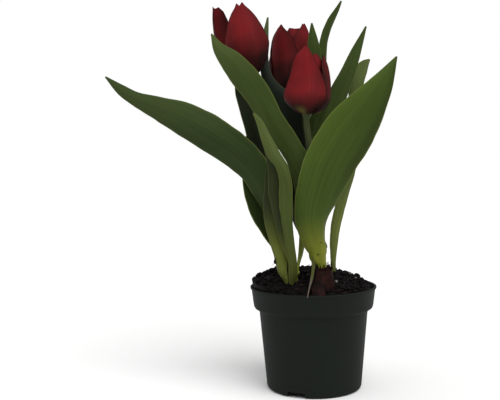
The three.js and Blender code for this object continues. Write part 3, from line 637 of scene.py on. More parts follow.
def soil_height(x, y):
    """Height of the soil at a place: low at the front, and heaped above the rim at the left."""
    reach = min(1.0, math.hypot(x, y) / SOIL_RADIUS)
    around = math.atan2(y, x)
    left = max(0.0, -math.cos(around))
    right = max(0.0, math.cos(around))
    front = max(0.0, -math.sin(around))
    edge = POT_HEIGHT - 2 + 8.5 * left**2 - 2.5 * front**2      # height at the rim
    bow = 3.1 + 0.7 * left - 1.3 * front - 0.8 * right          # the higher, the flatter the heap's top
    lumps = 0.9 * math.sin(x / 5.1 + 1.3) * math.cos(y / 4.3) + 0.6 * math.sin((x + 2 * y) / 7.7)
    return edge + (SOIL_PEAK - edge) * (1 - reach**bow) + lumps * (1 - reach**6)


def soil_spill(x, height):
    """How far the heap leans out over the rim at the left."""
    return 1 + 0.035 * max(0.0, -x / SOIL_RADIUS) ** 2 if height > POT_HEIGHT + 2 else 1


def make_mound():
    """The soil as one closed body: it fills the pot to its wall, and its top is lumpy."""
    round_it, across_it = SOIL_STEPS
    side = [
        (0, POT_FLOOR + FIT_GAP), (FOOT_RADIUS - 3.4, POT_FLOOR + FIT_GAP),
        (FOOT_RADIUS - POT_WALL - FIT_GAP - 0.1, 7.2), (BODY_TOP_RADIUS - POT_WALL - FIT_GAP, SHOULDER + 1.2),
        (54.0, SHOULDER + 2.2), (57 - POT_WALL - FIT_GAP, SHOULDER + 3.8), (56.4, POT_HEIGHT - 5.5),
    ]
    edge = SOIL_RADIUS - FIT_GAP
    top = [(edge * (1 - i / across_it), SOIL_TOP) for i in range(across_it + 1)]
    bm = turned(side + top, round_it)
    for vertex in bm.verts:
        if vertex.co.z < (SOIL_TOP - 1) * MM:
            continue
        x, y = vertex.co.x / MM, vertex.co.y / MM
        height = soil_height(x, y)
        spill = soil_spill(x, height)
        coarse = noise.fractal(Vector((x / 5, y / 5, 0)), 0.9, 2.1, 3)
        fine = noise.noise(Vector((x / 1.1, y / 1.1, 7)))
        vertex.co = Vector((x * spill, y * spill, height + 0.9 * coarse + 0.35 * fine)) * MM
    bmesh.ops.recalc_face_normals(bm, faces=bm.faces[:])
    return bm


def scatter_place(draw, most=56.0):
    """A place on the soil, drawn evenly over the heap out to the radius `most`."""
    around = draw.uniform(0, math.tau)
    reach = most * math.sqrt(draw.random())
    x, y = reach * math.cos(around), reach * math.sin(around)
    height = soil_height(x, y)
    spill = soil_spill(x, height)
    return x * spill, y * spill, height


noise.seed_set(NOISE_SEED)


def roughen(vertices, amount, seed):
    """Moves vertices in and out at random, so that a lump has broken faces."""
    for vertex in vertices:
        vertex.co += noise.noise_vector(vertex.co * 700 + Vector((seed, 0, 0))) * amount


def add_lump(bm, place, sizes, draw, fineness=2, sink=0.3):
    """A broken lump of the given half sizes, turned at random and sunk a little where it lies."""
    x, y, z = place
    turn = Matrix.Rotation(draw.uniform(0, math.tau), 4, "Z")
    turn = turn @ Matrix.Rotation(draw.uniform(-0.5, 0.5), 4, "X")
    matrix = (
        Matrix.Translation(Vector((x, y, z + sizes[2] * (1 - 2 * sink))) * MM)
        @ turn
        @ Matrix.Diagonal((*(Vector(sizes) * MM), 1))
    )
    lump = bmesh.ops.create_icosphere(bm, subdivisions=fineness, radius=1.0, matrix=matrix)
    roughen(lump["verts"], 0.42 * min(sizes) * MM, draw.random())


def make_crumbs():
    """Loose crumbs all over the soil, and a ring of them pushed up round the right bulb."""
    draw = random.Random(5)
    bm = bmesh.new()
    for _ in range(CRUMB_COUNT):
        size = 0.45 + 1.5 * draw.random() ** 2.6
        flat = size * draw.uniform(0.6, 0.95)
        sizes = (size * draw.uniform(0.8, 1.4), size, flat)
        add_lump(bm, scatter_place(draw), sizes, draw, fineness=2 if size > 0.8 else 1)
    centre_x, centre_y = BULB_CRUMB_CENTRE
    for _ in range(BULB_CRUMB_COUNT):
        around, reach = draw.uniform(0, math.tau), draw.uniform(*BULB_CRUMB_RING)
        x, y = centre_x + 0.86 * reach * math.cos(around), centre_y + reach * math.sin(around)
        size = draw.uniform(0.6, 1.7)
        add_lump(bm, (x, y, soil_height(x, y)), (size * 1.2, size, size * 0.8), draw, sink=0.2)
    return bm


def make_clods():
    """Larger clods, heaped along the left and the back of the rim."""
    draw = random.Random(33)
    bm = bmesh.new()
    for _ in range(CLOD_COUNT):
        around = math.radians(draw.uniform(*CLOD_ARC))
        reach = draw.uniform(*CLOD_RING)
        x, y = reach * math.cos(around), reach * math.sin(around)
        height = soil_height(x, y)
        spill = soil_spill(x, height)
        size = draw.uniform(1.5, 3.1)
        sizes = (size * draw.uniform(1.0, 1.4), size, size * draw.uniform(0.6, 0.9))
        add_lump(bm, (x * spill, y * spill, height), sizes, draw, fineness=3, sink=0.35)
    return bm


def make_chips():
    """Small flat chips of bark all over the soil, and the larger ones."""
    draw = random.Random(21)
    bm = bmesh.new()
    for _ in range(CHIP_COUNT):
        sizes = (draw.uniform(1.4, 3.8), draw.uniform(0.5, 1.2), draw.uniform(0.25, 0.5))
        add_lump(bm, scatter_place(draw, 54), sizes, draw, sink=0.0)
    for x, y in BARK_PLACES:
        add_lump(bm, (x, y, soil_height(x, y)), (3.1, 1.5, 0.7), draw, sink=0.0)
    return bm


def make_perlite():
    """The white grains, each at its own place."""
    draw = random.Random(8)
    bm = bmesh.new()
    for x, y, size in PERLITE_PLACES:
        add_lump(bm, (x, y, soil_height(x, y) + 0.5), (size * 1.2, size, size * 0.85), draw, sink=0.1)
    return bm


# Damp peat: nearly black brown, matt, and a little glossier where its clods are moist.
peat, tree, shader = start_material("damp peat", IOR=1.4, Specular_IOR_Level=0.12)
place = add_node(tree, "ShaderNodeTexCoord")
clods = add_node(
    tree,
    "ShaderNodeTexNoise",
    values={"Scale": 1 / (PEAT_CLOD * MM), "Detail": 5.0},
    links={"Vector": place.outputs["Object"]},
)
clod_edge = add_node(
    tree,
    "ShaderNodeMapRange",
    values={"From Min": 0.42, "From Max": 0.7},
    links={"Value": clods.outputs["Fac"]},
)
peat_colour = add_node(
    tree,
    "ShaderNodeMix",
    settings={"data_type": "RGBA"},
    values={6: to_linear("#060404"), 7: to_linear("#120d0c")},
    links={0: clod_edge.outputs["Result"]},
)
tree.links.new(peat_colour.outputs[2], shader.inputs["Base Color"])
moist = add_node(
    tree,
    "ShaderNodeMapRange",
    values={"To Min": 1.0, "To Max": 0.5},
    links={"Value": clods.outputs["Fac"]},
)
tree.links.new(moist.outputs["Result"], shader.inputs["Roughness"])
relief = add_node(
    tree,
    "ShaderNodeBump",
    values={"Strength": 0.8, "Distance": 0.5 * MM},
    links={"Height": clods.outputs["Fac"]},
)
tree.links.new(relief.outputs["Normal"], shader.inputs["Normal"])

# Composted bark: reddish brown chips, matt and mottled where the crumbling fibres catch the light.
bark, tree, shader = start_material("composted bark", Roughness=0.8, IOR=1.45, Specular_IOR_Level=0.2)
bark_colour = mottled(tree, BARK_MOTTLE, 3.0, ("#120b0a", "#2c1714"))[0]
tree.links.new(bark_colour, shader.inputs["Base Color"])

# Expanded perlite: light, chalky volcanic glass, stained a little by the peat.
perlite, tree, shader = start_material("expanded perlite", Roughness=0.85, IOR=1.5, Specular_IOR_Level=0.2)
perlite_colour = mottled(tree, PERLITE_STAIN, 2.0, ("#948d86", "#453b36"))[0]
tree.links.new(perlite_colour, shader.inputs["Base Color"])

soil = finish_piece("soil_mound", make_mound(), peat)
stand_in(soil, "soil")
for name, bm, material in (
    ("soil_crumbs", make_crumbs(), peat),
    ("soil_clods", make_clods(), peat),
    ("bark_chips", make_chips(), bark),
    ("perlite_grains", make_perlite(), perlite),
):
    scattered = finish_piece(name, bm, material, crease=30)
    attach(scattered, "root")

# ---------------------------------------------------------------- leaves
# Tulip leaves are thick, waxy blades that clasp the stem at their feet, with parallel veins from foot to tip,
# gently waved margins and a thin pale rim. Low down, where they come out of the soil, they are yellow-green.

BLADE_THICKNESS = 0.9
LEAST_WIDTH = 0.9               # a blade is never narrower, also at its very tip
CRIMP = 0.5                     # how far the margins of leaves and petals wander in and out
SHEATH_RINGS = (3.9, 5.5)       # radii of the leaf feet round a stem, inner and outer
SHEATH_SPAN = 80                # degrees of the stem that one leaf foot covers
WIDE = (40, 170)                # mesh squares across and along
NARROW = (22, 130)
# A green of painted light, which the lit tips of blades turn towards.
PAINTED_LIT_TIP = "#5c683a"
# Soil-brown for the leaf feet: partly the soil's real stain and partly painted shade where they meet the
# soil.
SOIL_STAIN_AND_SHADE = "#1e1a0e"
SOIL_STAIN_AND_SHADE_SPAN = (106, 124)    # heights between which the soil's stain and the painted shade fade out
PAINTED_SIDE_LIGHT_SPAN = (145, 225)         # heights between which a blade's painted side light changes from the foot's to the tip's
PALE_BELOW = (116, 165)         # heights at which the yellow-green of the foot starts to fade and is gone
WIDEST_HALF = 23.5              # half the width of the widest leaf
VEIN_SPACING = 2.76             # on the widest leaf
BLOOM_PATCH = 18.0              # width of the wax bloom's patches on the widest leaf

# The green of a blade and of its foot, from the freshest leaf to the darkest. The last two have painted
# shade in them, for leaves that stand in shadow behind the others.
GREENS = {
    "fresh": ("#3b461d", "#43481b"),
    "clear": ("#374616", "#6c7022"),
    "even": ("#344119", "#484f20"),
    "upright": ("#344119", "#7c8436"),
    "narrow": ("#465228", "#5d6530"),
    "deep": ("#293617", "#434b20"),
    "mild": ("#272f14", "#555b22"),
    "painted_shade": ("#242b1c", "#333a20"),
    "dark": ("#181f15", "#282e18"),
}

# A row is x, y, z, width, fold and facing: the place of the midrib, the width over the surface, how many
# degrees the section bends round, and the compass angle that the outside faces. `side` and `ring` place a
# foot on its shoot. `wave` is the depth, number and start of the margins' waves. `painted_side_light` is
# painted light and shade across a blade, lighter towards one margin and darker towards the other, at its
# foot and at its tip. `pale_below` stands in for PALE_BELOW, and `lit_above` is the heights between which
# a blade turns towards painted light at its tip, with the share. `marks` are brown specks, each with its
# x, z and size.
LEAVES = {
    "leaf_wide_right": {
        "shoot": "right", "side": 290, "ring": 1, "wave": (0.9, 2.2, 0.4), "mesh": WIDE, "green": "clear",
        "pale_below": (120, 172), "painted_side_light": (-0.22, 0.38),
        "marks": [(1.5, 132.5, 1.4), (3.9, 143, 0.9)],
        "rows": [
            (3.4, -39.5, 129, 19.5, 152, 284), (2.6, -41.5, 136, 20, 130, 284),
            (-1, -44, 148.5, 26, 115, 283), (-2, -46, 168.5, 35, 90, 281), (4, -49, 191.5, 43, 70, 279),
            (12.5, -52, 213.5, 47, 56, 278), (30.5, -55, 243.5, 46, 44, 276), (43.5, -55, 261.5, 37, 38, 276),
            (58.5, -53, 283.5, 21, 34, 276), (72, -49, 307.5, 1, 20, 276),
        ],
    },
    "leaf_across": {
        "shoot": "right", "side": 180, "ring": 0, "wave": (0.8, 2, 1.9), "mesh": WIDE, "green": "even",
        "lit_above": (285, 345, 0.5),
        "rows": [
            (-4, -35, 136.5, 14, 130, 222), (-8, -37, 160.5, 21, 84, 254), (-7, -37.5, 185.5, 23, 74, 256),
            (-13.5, -36.5, 213, 22, 60, 256), (-26.5, -35, 236, 21.5, 50, 255),
            (-38.5, -35, 254, 22, 50, 255), (-51, -36, 277, 24.5, 50, 255), (-62, -38, 292, 25, 50, 255),
            (-73.5, -40, 306, 21, 46, 255), (-84.5, -42, 318, 11.5, 40, 255), (-91, -43, 331, 1, 30, 255),
        ],
    },
    "leaf_narrow_right": {
        "wave": (0.6, 2, 0.8), "mesh": NARROW, "green": "narrow",
        "pale_below": (150, 210), "lit_above": (285, 305, 0.55),
        "rows": [
            (18.5, -6, 102, 3.5, 60, 270), (19, -5, 120.5, 4, 60, 270), (20, -4, 139.5, 7, 60, 274),
            (22, -3, 155.5, 8.5, 60, 280), (26, -2, 170.5, 10, 60, 284), (30, 0, 186.5, 12, 60, 286),
            (35.5, 2, 205.5, 13, 60, 288), (40.5, 6, 235.5, 15, 60, 290), (45, 12, 289, 14, 56, 290),
            (49.5, 14, 302.5, 13, 50, 290), (53, 14.5, 308, 8.5, 40, 290), (57.5, 15, 312.5, 1, 30, 290),
        ],
    },
    "leaf_far_left": {
        "shoot": "left", "side": 185, "ring": 0, "wave": (1.0, 2.3, 0.2), "mesh": WIDE, "green": "deep",
        "painted_side_light": (-0.1, -0.1), "lit_above": (232, 272, 0.16),
        "rows": [
            (-31.5, -28.5, 124.5, 9, 80, 190), (-33.5, -27, 149, 16, 80, 218),
            (-39, -25.5, 175, 23.5, 70, 236), (-46, -25, 193.5, 28, 60, 245), (-56, -25, 210.5, 30, 56, 250),
            (-71.5, -26, 226, 33, 50, 254), (-93, -28, 241.5, 34, 46, 255),
            (-118.5, -30, 256.5, 30.5, 44, 255), (-142, -30, 267, 20.5, 40, 255),
            (-161.5, -29, 275.5, 12.5, 34, 255), (-174, -28, 283.5, 9.5, 30, 255),
            (-188.5, -26, 296, 1, 20, 255),
        ],
    },
    "leaf_sheath_left": {
        "shoot": "left", "side": 203, "ring": 1, "wave": (0.3, 1.5, 2.2), "mesh": NARROW, "green": "mild",
        "pale_below": (132, 178), "painted_side_light": (-0.04, -0.3),
        "rows": [
            (-30.5, -35.5, 113, 9.5, 90, 235), (-32, -36, 121, 12, 95, 240), (-33, -34.5, 132, 14, 95, 248),
            (-37, -35, 148, 14, 80, 255), (-40, -36, 163, 14.5, 70, 257), (-41, -37, 179, 13.5, 60, 258),
            (-40.5, -37, 193, 11.5, 56, 260), (-42.5, -37, 218, 1, 40, 260),
        ],
    },
    "leaf_front_small": {
        "shoot": "left", "side": 300, "ring": 1, "wave": (0.5, 2, 1.1), "mesh": NARROW, "green": "fresh",
        "lit_above": (195, 245, 0.4),
        "rows": [
            (-21, -40, 123, 7, 90, 290), (-24, -46, 145, 7.5, 80, 282), (-26, -50, 164, 9.5, 70, 277),
            (-27, -52, 183, 11.5, 70, 275), (-27.5, -54, 200, 10.5, 70, 274), (-31.5, -54, 214, 9.5, 70, 270),
            (-38.5, -53, 225, 10.5, 66, 266), (-44.5, -52, 239, 8, 60, 264), (-49.5, -51, 252, 5, 50, 262),
            (-54.5, -50, 260, 1, 40, 260),
        ],
    },
    "leaf_front_inner": {
        "shoot": "left", "side": 277, "ring": 0, "wave": (0.4, 1.5, 2.9), "mesh": NARROW, "green": "mild",
        "rows": [
            (-21.5, -38, 125.5, 6.5, 80, 268), (-27, -41, 142, 8.5, 80, 264), (-31, -44, 162, 11, 70, 262),
            (-34, -45, 178, 12.5, 70, 262), (-36, -45, 191, 12.5, 66, 262), (-36.5, -45, 207, 11.5, 60, 262),
            (-40.5, -44, 225, 8, 56, 262), (-45.5, -43, 238, 1, 40, 262),
        ],
    },
    "leaf_upright_right": {
        "shoot": "left", "side": 5, "ring": 0, "wave": (0.5, 2, 0.3), "mesh": NARROW, "green": "upright",
        "pale_below": (145, 185),
        "rows": [
            (-16, -28, 119, 6, 90, 350), (-13, -25, 131, 7, 80, 330), (-11, -22, 143.5, 8, 80, 315),
            (-6, -17, 170.5, 12, 70, 300), (-0.5, -14, 198.5, 16, 64, 292), (7.5, -11, 230.5, 18, 60, 288),
            (12.5, -10, 247.5, 18, 56, 286), (22.5, -8, 272.5, 18.5, 50, 285), (35, -5, 299.5, 14, 46, 285),
            (41, -3, 314.5, 10.5, 40, 285), (52, 0, 341.5, 1, 30, 285),
        ],
    },
    # Its green is painted shade, for a leaf that stands in shadow behind the others.
    "leaf_left_upper": {
        "shoot": "left", "side": 113, "ring": 1, "wave": (0.5, 1.6, 0.9), "mesh": NARROW, "green": "painted_shade",
        "rows": [
            (-28, -15.5, 123, 8, 90, 112), (-33, -9.5, 143, 11, 80, 110), (-38, -4, 166, 14, 74, 110),
            (-42.5, 0, 190, 15.5, 70, 110), (-48.5, 3, 218, 17.5, 64, 110), (-53, 5, 237, 17, 60, 110),
            (-59.5, 6, 260, 15, 56, 110), (-67.5, 7, 282, 9, 50, 110), (-71, 7, 299, 1, 30, 110),
        ],
    },
    "leaf_left_low": {
        "shoot": "left", "side": 95, "ring": 0, "wave": (0.7, 1.8, 2.4), "mesh": NARROW, "green": "deep",
        "rows": [
            (-27.5, -20.5, 123, 8, 90, 110), (-35.5, -17.5, 139, 13, 80, 122), (-44, -15, 155, 18, 74, 122),
            (-51, -12.5, 171, 20.5, 64, 120), (-56, -11, 190, 20, 58, 118), (-59.5, -10, 211, 16, 50, 118),
            (-61.5, -9, 228, 10, 40, 118), (-60.5, -9, 241, 1, 30, 118),
        ],
    },
    # Its dark green is painted shade, for a leaf in shadow behind the flowers; its tip is painted lit.
    "leaf_hooked_back": {
        "shoot": "back", "side": 215, "ring": 1, "wave": (0.5, 1.8, 1.5), "mesh": NARROW, "green": "dark",
        "lit_above": (312, 345, 0.55),
        "rows": [
            (0, 6, 130.5, 12, 110, 235), (-8, 3, 153.5, 17, 84, 250), (-13, 1, 175, 20.5, 70, 262),
            (-13.5, 1, 199, 18.5, 60, 266), (-14, 1, 222, 19, 54, 267), (-18.5, 2, 246, 23, 50, 268),
            (-22, 4, 267, 24, 50, 268), (-34.5, 8, 284, 14, 50, 268), (-42, 12, 300, 9, 46, 268),
            (-43, 17, 316, 7, 40, 268), (-42, 21, 333, 6, 36, 268), (-39, 24, 355, 1, 30, 268),
        ],
    },
    "leaf_middle_back": {
        "shoot": "back", "side": 270, "ring": 0, "wave": (0.4, 2, 0.1), "mesh": NARROW, "green": "even",
        "rows": [
            (1, 8, 144.5, 9, 100, 272), (-3, 10, 183.5, 10.5, 74, 275), (-5.5, 11, 216.5, 12.5, 64, 275),
            (-4, 10, 240.5, 17, 60, 275), (-1, 9, 259.5, 20.5, 54, 275), (2, 8, 288.5, 17.5, 50, 275),
            (4, 7, 319.5, 12.5, 46, 275), (3, 7, 330.5, 9, 40, 275), (2, 8, 346.5, 1, 30, 275),
        ],
    },
    "leaf_curled_top": {
        "shoot": "back", "side": 5, "ring": 0, "wave": (0.4, 2, 2.6), "mesh": NARROW, "green": "even",
        "rows": [
            (12, 16, 143.5, 8.5, 90, 355), (12, 19, 187.5, 9, 74, 335), (11.5, 22, 236.5, 9.5, 70, 318),
            (13, 24, 284.5, 9.5, 70, 305), (14, 26, 323.5, 8.5, 66, 302), (17, 27, 339.5, 8, 60, 300),
            (22, 27, 351.5, 7, 60, 300), (28, 27, 362.5, 4, 50, 300), (32, 27, 370.5, 1, 30, 300),
        ],
    },
}


def compass(degrees):
    """The level direction at a compass angle, counted from +X towards +Y."""
    return Vector((math.cos(math.radians(degrees)), math.sin(math.radians(degrees)), 0))


def mixed(first, second, share):
    """A colour on the way from the first to the second."""
    return [a + (b - a) * share for a, b in zip(first, second)]


def foot_rows(shoot, side, ring):
    """The rows of a leaf's foot, on the circle of its ring, square to the shoot."""
    radius = SHEATH_RINGS[ring]
    axis = shoot_axis(shoot)
    out = compass(side)
    out = (out - axis * out.dot(axis)).normalized() * radius
    width = radius * math.radians(SHEATH_SPAN)
    places = [Vector(shoot["foot"]).lerp(Vector(shoot["collar"]), share) + out for share in (0, 0.5, 1)]
    return [(*place, width, SHEATH_SPAN, side) for place in places]


def blade_surface(rows, wave):
    """Gives a blade's points: `across` runs from -1 to 1 between its margins and `along` from 0 to 1."""
    midrib = smooth([row[:3] for row in rows])
    section = smooth([row[3:] for row in rows])
    wave_size, wave_count, wave_phase = wave

    @functools.lru_cache(maxsize=None)
    def cut(along):
        up = heading(midrib, along)
        width, fold, facing = section(along)
        out = compass(facing)
        out = (out - up * out.dot(up)).normalized()
        bend = math.radians(max(fold, 4))
        return midrib(along), out, out.cross(up), bend, max(width, LEAST_WIDTH) / bend

    def place(across, along, lift=0.0):
        centre, out, aside, bend, radius = cut(along)
        turn = across * bend / 2
        swing = math.tau * wave_count * along + wave_phase + math.copysign(1.9, across)
        ripple = wave_size * abs(across) ** 2.5 * math.sin(math.pi * along) ** 2 * math.sin(swing)
        rise = radius + ripple + lift
        return centre + aside * (rise * math.sin(turn)) + out * (rise * math.cos(turn) - radius)

    return place


def make_blade(surface, squares, thickness, tint=None, crimp=0.0):
    """A thin closed blade on a surface. Each vertex keeps where it is on the blade, and its tint if any."""
    across_squares, along_squares = squares
    bm = bmesh.new()
    bmesh.ops.create_grid(bm, x_segments=across_squares, y_segments=along_squares, size=1.0)
    where = bm.verts.layers.float_vector.new("blade")
    colour = bm.verts.layers.float_color.new("tint") if tint else None
    for vertex in bm.verts:
        across = vertex.co.x
        along = round((vertex.co.y + 1) / 2 * along_squares) / along_squares
        point = surface(across, along, thickness / 2)
        wander = crimp * abs(across) ** 3 * math.sin(math.pi * along)
        point += noise.noise_vector(point / 9) * wander
        vertex[where] = (across, along, point.z)
        if tint:
            vertex[colour] = tint(across, along, point)
        vertex.co = point * MM
    bmesh.ops.recalc_face_normals(bm, faces=bm.faces[:])
    bmesh.ops.solidify(bm, geom=bm.faces[:], thickness=thickness * MM)
    return bm


def leaf_tint(leaf):
    """Green that is yellower at the foot, with soil stain and painted shade low down, painted light towards
    the tip, and painted light and shade across the blade.
    """
    blade_green, foot_green = [to_linear(shade) for shade in GREENS[leaf["green"]]]
    painted_tip_light, brown = to_linear(PAINTED_LIT_TIP), to_linear(SOIL_STAIN_AND_SHADE)
    low, high = leaf.get("pale_below", PALE_BELOW)
    dull, lit, lit_share = leaf.get("lit_above", (0, 1, 0))
    foot_painted_side_light, tip_painted_side_light = leaf.get("painted_side_light", (0, 0))

    def tint(across, along, point):
        colour = mixed(foot_green, blade_green, fade(point.z, low, high))
        # Painted light: the blade turns towards a lit green near its tip.
        colour = mixed(colour, painted_tip_light, lit_share * fade(point.z, dull, lit))
        # Painted light and shade across the blade: lighter towards one margin and darker towards the other.
        painted_side_light = foot_painted_side_light + (tip_painted_side_light - foot_painted_side_light) * fade(point.z, *PAINTED_SIDE_LIGHT_SPAN)
        colour = [channel * (1 + painted_side_light * across) for channel in colour]
        # Soil stain and painted shade darken the blade low down, near the soil.
        stain_and_shade = (1 - fade(point.z, *SOIL_STAIN_AND_SHADE_SPAN)) * (0.5 + 0.5 * noise.noise(point / 2.5))
        colour = mixed(colour, brown, 0.7 * stain_and_shade)
        for x, z, size in leaf.get("marks", []):
            away = math.hypot(point.x - x, point.z - z) / size
            colour = mixed(colour, brown, 0.8 * (1 - fade(away, 0.5, 1.0)))
        return colour

    return tint


def streaked(tree, scale, roughness, edge, dark, light):
    """A blade's tint with dark and light lines along it. `scale` repeats their pattern over half the blade's
    width, over its length and over a millimetre of height. Gives the pattern, the colour and the place."""
    tint = add_node(tree, "ShaderNodeAttribute", settings={"attribute_name": "tint"})
    where = add_node(tree, "ShaderNodeAttribute", settings={"attribute_name": "blade"})
    stretched = add_node(
        tree, "ShaderNodeMapping", values={"Scale": scale}, links={"Vector": where.outputs["Vector"]}
    )
    pattern = add_node(
        tree,
        "ShaderNodeTexNoise",
        values={"Scale": 1.0, "Detail": 4.0, "Roughness": roughness},
        links={"Vector": stretched.outputs["Vector"]},
    )
    share = add_node(
        tree,
        "ShaderNodeMapRange",
        values={"From Min": edge[0], "From Max": edge[1]},
        links={"Value": pattern.outputs["Fac"]},
    )
    darker, lighter = [
        add_node(
            tree,
            "ShaderNodeMix",
            settings={"data_type": "RGBA", "blend_type": "MULTIPLY"},
            values={0: 1.0, 7: (*shade, 1.0)},
            links={6: tint.outputs["Color"]},
        )
        for shade in (dark, light)
    ]
    colour = add_node(
        tree,
        "ShaderNodeMix",
        settings={"data_type": "RGBA"},
        links={0: share.outputs["Result"], 6: darker.outputs[2], 7: lighter.outputs[2]},
    )
    return pattern.outputs["Fac"], colour.outputs[2], where.outputs["Vector"]


def rimmed(tree, where, inside, start, most, rim):
    """The colour inside a blade, which from the share `start` of its half width turns towards its rim's."""
    split = add_node(tree, "ShaderNodeSeparateXYZ", links={"Vector": where})
    from_middle = add_node(
        tree, "ShaderNodeMath", settings={"operation": "ABSOLUTE"}, links={0: split.outputs["X"]}
    )
    share = add_node(
        tree,
        "ShaderNodeMapRange",
        values={"From Min": start, "From Max": 1.0, "To Max": most},
        links={"Value": from_middle.outputs["Value"]},
    )
    colour = add_node(
        tree,
        "ShaderNodeMix",
        settings={"data_type": "RGBA"},
        values={7: to_linear(rim)},
        links={0: share.outputs["Result"], 6: inside},
    )
    return colour.outputs[2]


# A living tulip leaf: smooth cuticle with a thin blue-grey wax bloom over green flesh. The parallel veins
# show as faint lighter lines and shallow ribs, and the rim is thin and pale. Veins about 1.5 mm apart would
# be too fine to show, so they are drawn farther apart. The third scale, per millimetre of height, makes the
# pattern of every leaf another one.
leaf_skin, tree, shader = start_material("waxy tulip leaf", IOR=1.42, Specular_IOR_Level=0.13)
veins, veined, where = streaked(
    tree, (WIDEST_HALF / VEIN_SPACING, 1.1, 0.004), 0.72, (0.35, 0.68), (0.84, 0.86, 0.83), (1.13, 1.11, 1.07)
)
along_bloom = add_node(
    tree,
    "ShaderNodeMapping",
    values={"Scale": (WIDEST_HALF / BLOOM_PATCH, 4.5, 0.013)},
    links={"Vector": where},
)
bloom_noise = add_node(
    tree,
    "ShaderNodeTexNoise",
    values={"Scale": 1.0, "Detail": 5.0},
    links={"Vector": along_bloom.outputs["Vector"]},
)
bloom_share = add_node(
    tree,
    "ShaderNodeMapRange",
    values={"From Min": 0.4, "From Max": 0.75, "To Max": 0.5},
    links={"Value": bloom_noise.outputs["Fac"]},
)
bloomed = add_node(
    tree,
    "ShaderNodeMix",
    settings={"data_type": "RGBA", "blend_type": "MULTIPLY"},
    values={7: (1.35, 1.38, 1.6, 1.0)},
    links={0: bloom_share.outputs["Result"], 6: veined},
)
leaf_colour = rimmed(tree, where, bloomed.outputs[2], 0.93, 0.6, "#6a7138")
tree.links.new(leaf_colour, shader.inputs["Base Color"])
leaf_gloss = add_node(
    tree,
    "ShaderNodeMapRange",
    values={"To Min": 0.38, "To Max": 0.6},
    links={"Value": bloom_noise.outputs["Fac"]},
)
tree.links.new(leaf_gloss.outputs["Result"], shader.inputs["Roughness"])
relief = add_node(
    tree,
    "ShaderNodeBump",
    values={"Strength": 0.5, "Distance": 0.3 * MM},
    links={"Height": veins},
)
tree.links.new(relief.outputs["Normal"], shader.inputs["Normal"])

for name, leaf in LEAVES.items():
    foot = foot_rows(SHOOTS[leaf["shoot"]], leaf["side"], leaf["ring"]) if "shoot" in leaf else []
    surface = blade_surface(foot + leaf["rows"], leaf["wave"])
    blade = make_blade(surface, leaf["mesh"], BLADE_THICKNESS, leaf_tint(leaf), CRIMP)
    stand_in(finish_piece(f"{name}_blade", blade, leaf_skin), name)

# ---------------------------------------------------------------- flower stems
# One round, smooth, waxy stem carries each flower. It stands in its bulb's collar, leans with the shoot, and
# widens into the seat of the flower at its top.

STEM_RADIUS = 2.7
STEM_SIDES = 28
STEM_RINGS = 110
STEM_STRAIGHT = 7.0         # length of stem just under the flower that points along the flower's axis
RECEPTACLE_RADIUS = 4.4
RECEPTACLE_DEPTH = 6.0
RECEPTACLE_GAP = 0.3        # from the top of the stem to the flower's seat
STEM_RIDGE = 1.11           # spacing of the stem's ridges
STEM_RIDGE_STRETCH = 0.08

# What the tepals of a cup have in common, unless a bloom or one of its tepals says otherwise. `span` is how
# many degrees either side of its middle a tepal covers, and `heel` the same at its foot. `gape` opens the
# tips, `drop` makes a tepal shorter than the bloom, and `flare` turns it outwards about its foot. A tepal
# that is `over` laps outside both neighbours. `belly` is the cup's radius above its base and `width` the
# tepal's half width, as shares. `horns` raises the corners of a tip. `shade` is painted shade that darkens
# a tepal standing in shadow, and `dark_and_shade_below` holds the shares of its length at which its darker
# foot, partly its own colour and partly painted shade under the cup, starts to fade and is gone.
CUP = {
    "span": 62, "heel": 52, "gape": 0.4, "drop": 0, "flare": 0, "over": False,
    "horns": 0.8, "dark_and_shade_below": (0.2, 0.56),
    "belly": (0.52, 0.82, 0.98, 1, 0.93), "width": (0.16, 0.5, 0.82, 0.98, 1, 0.92, 0.62, 0.04),
}

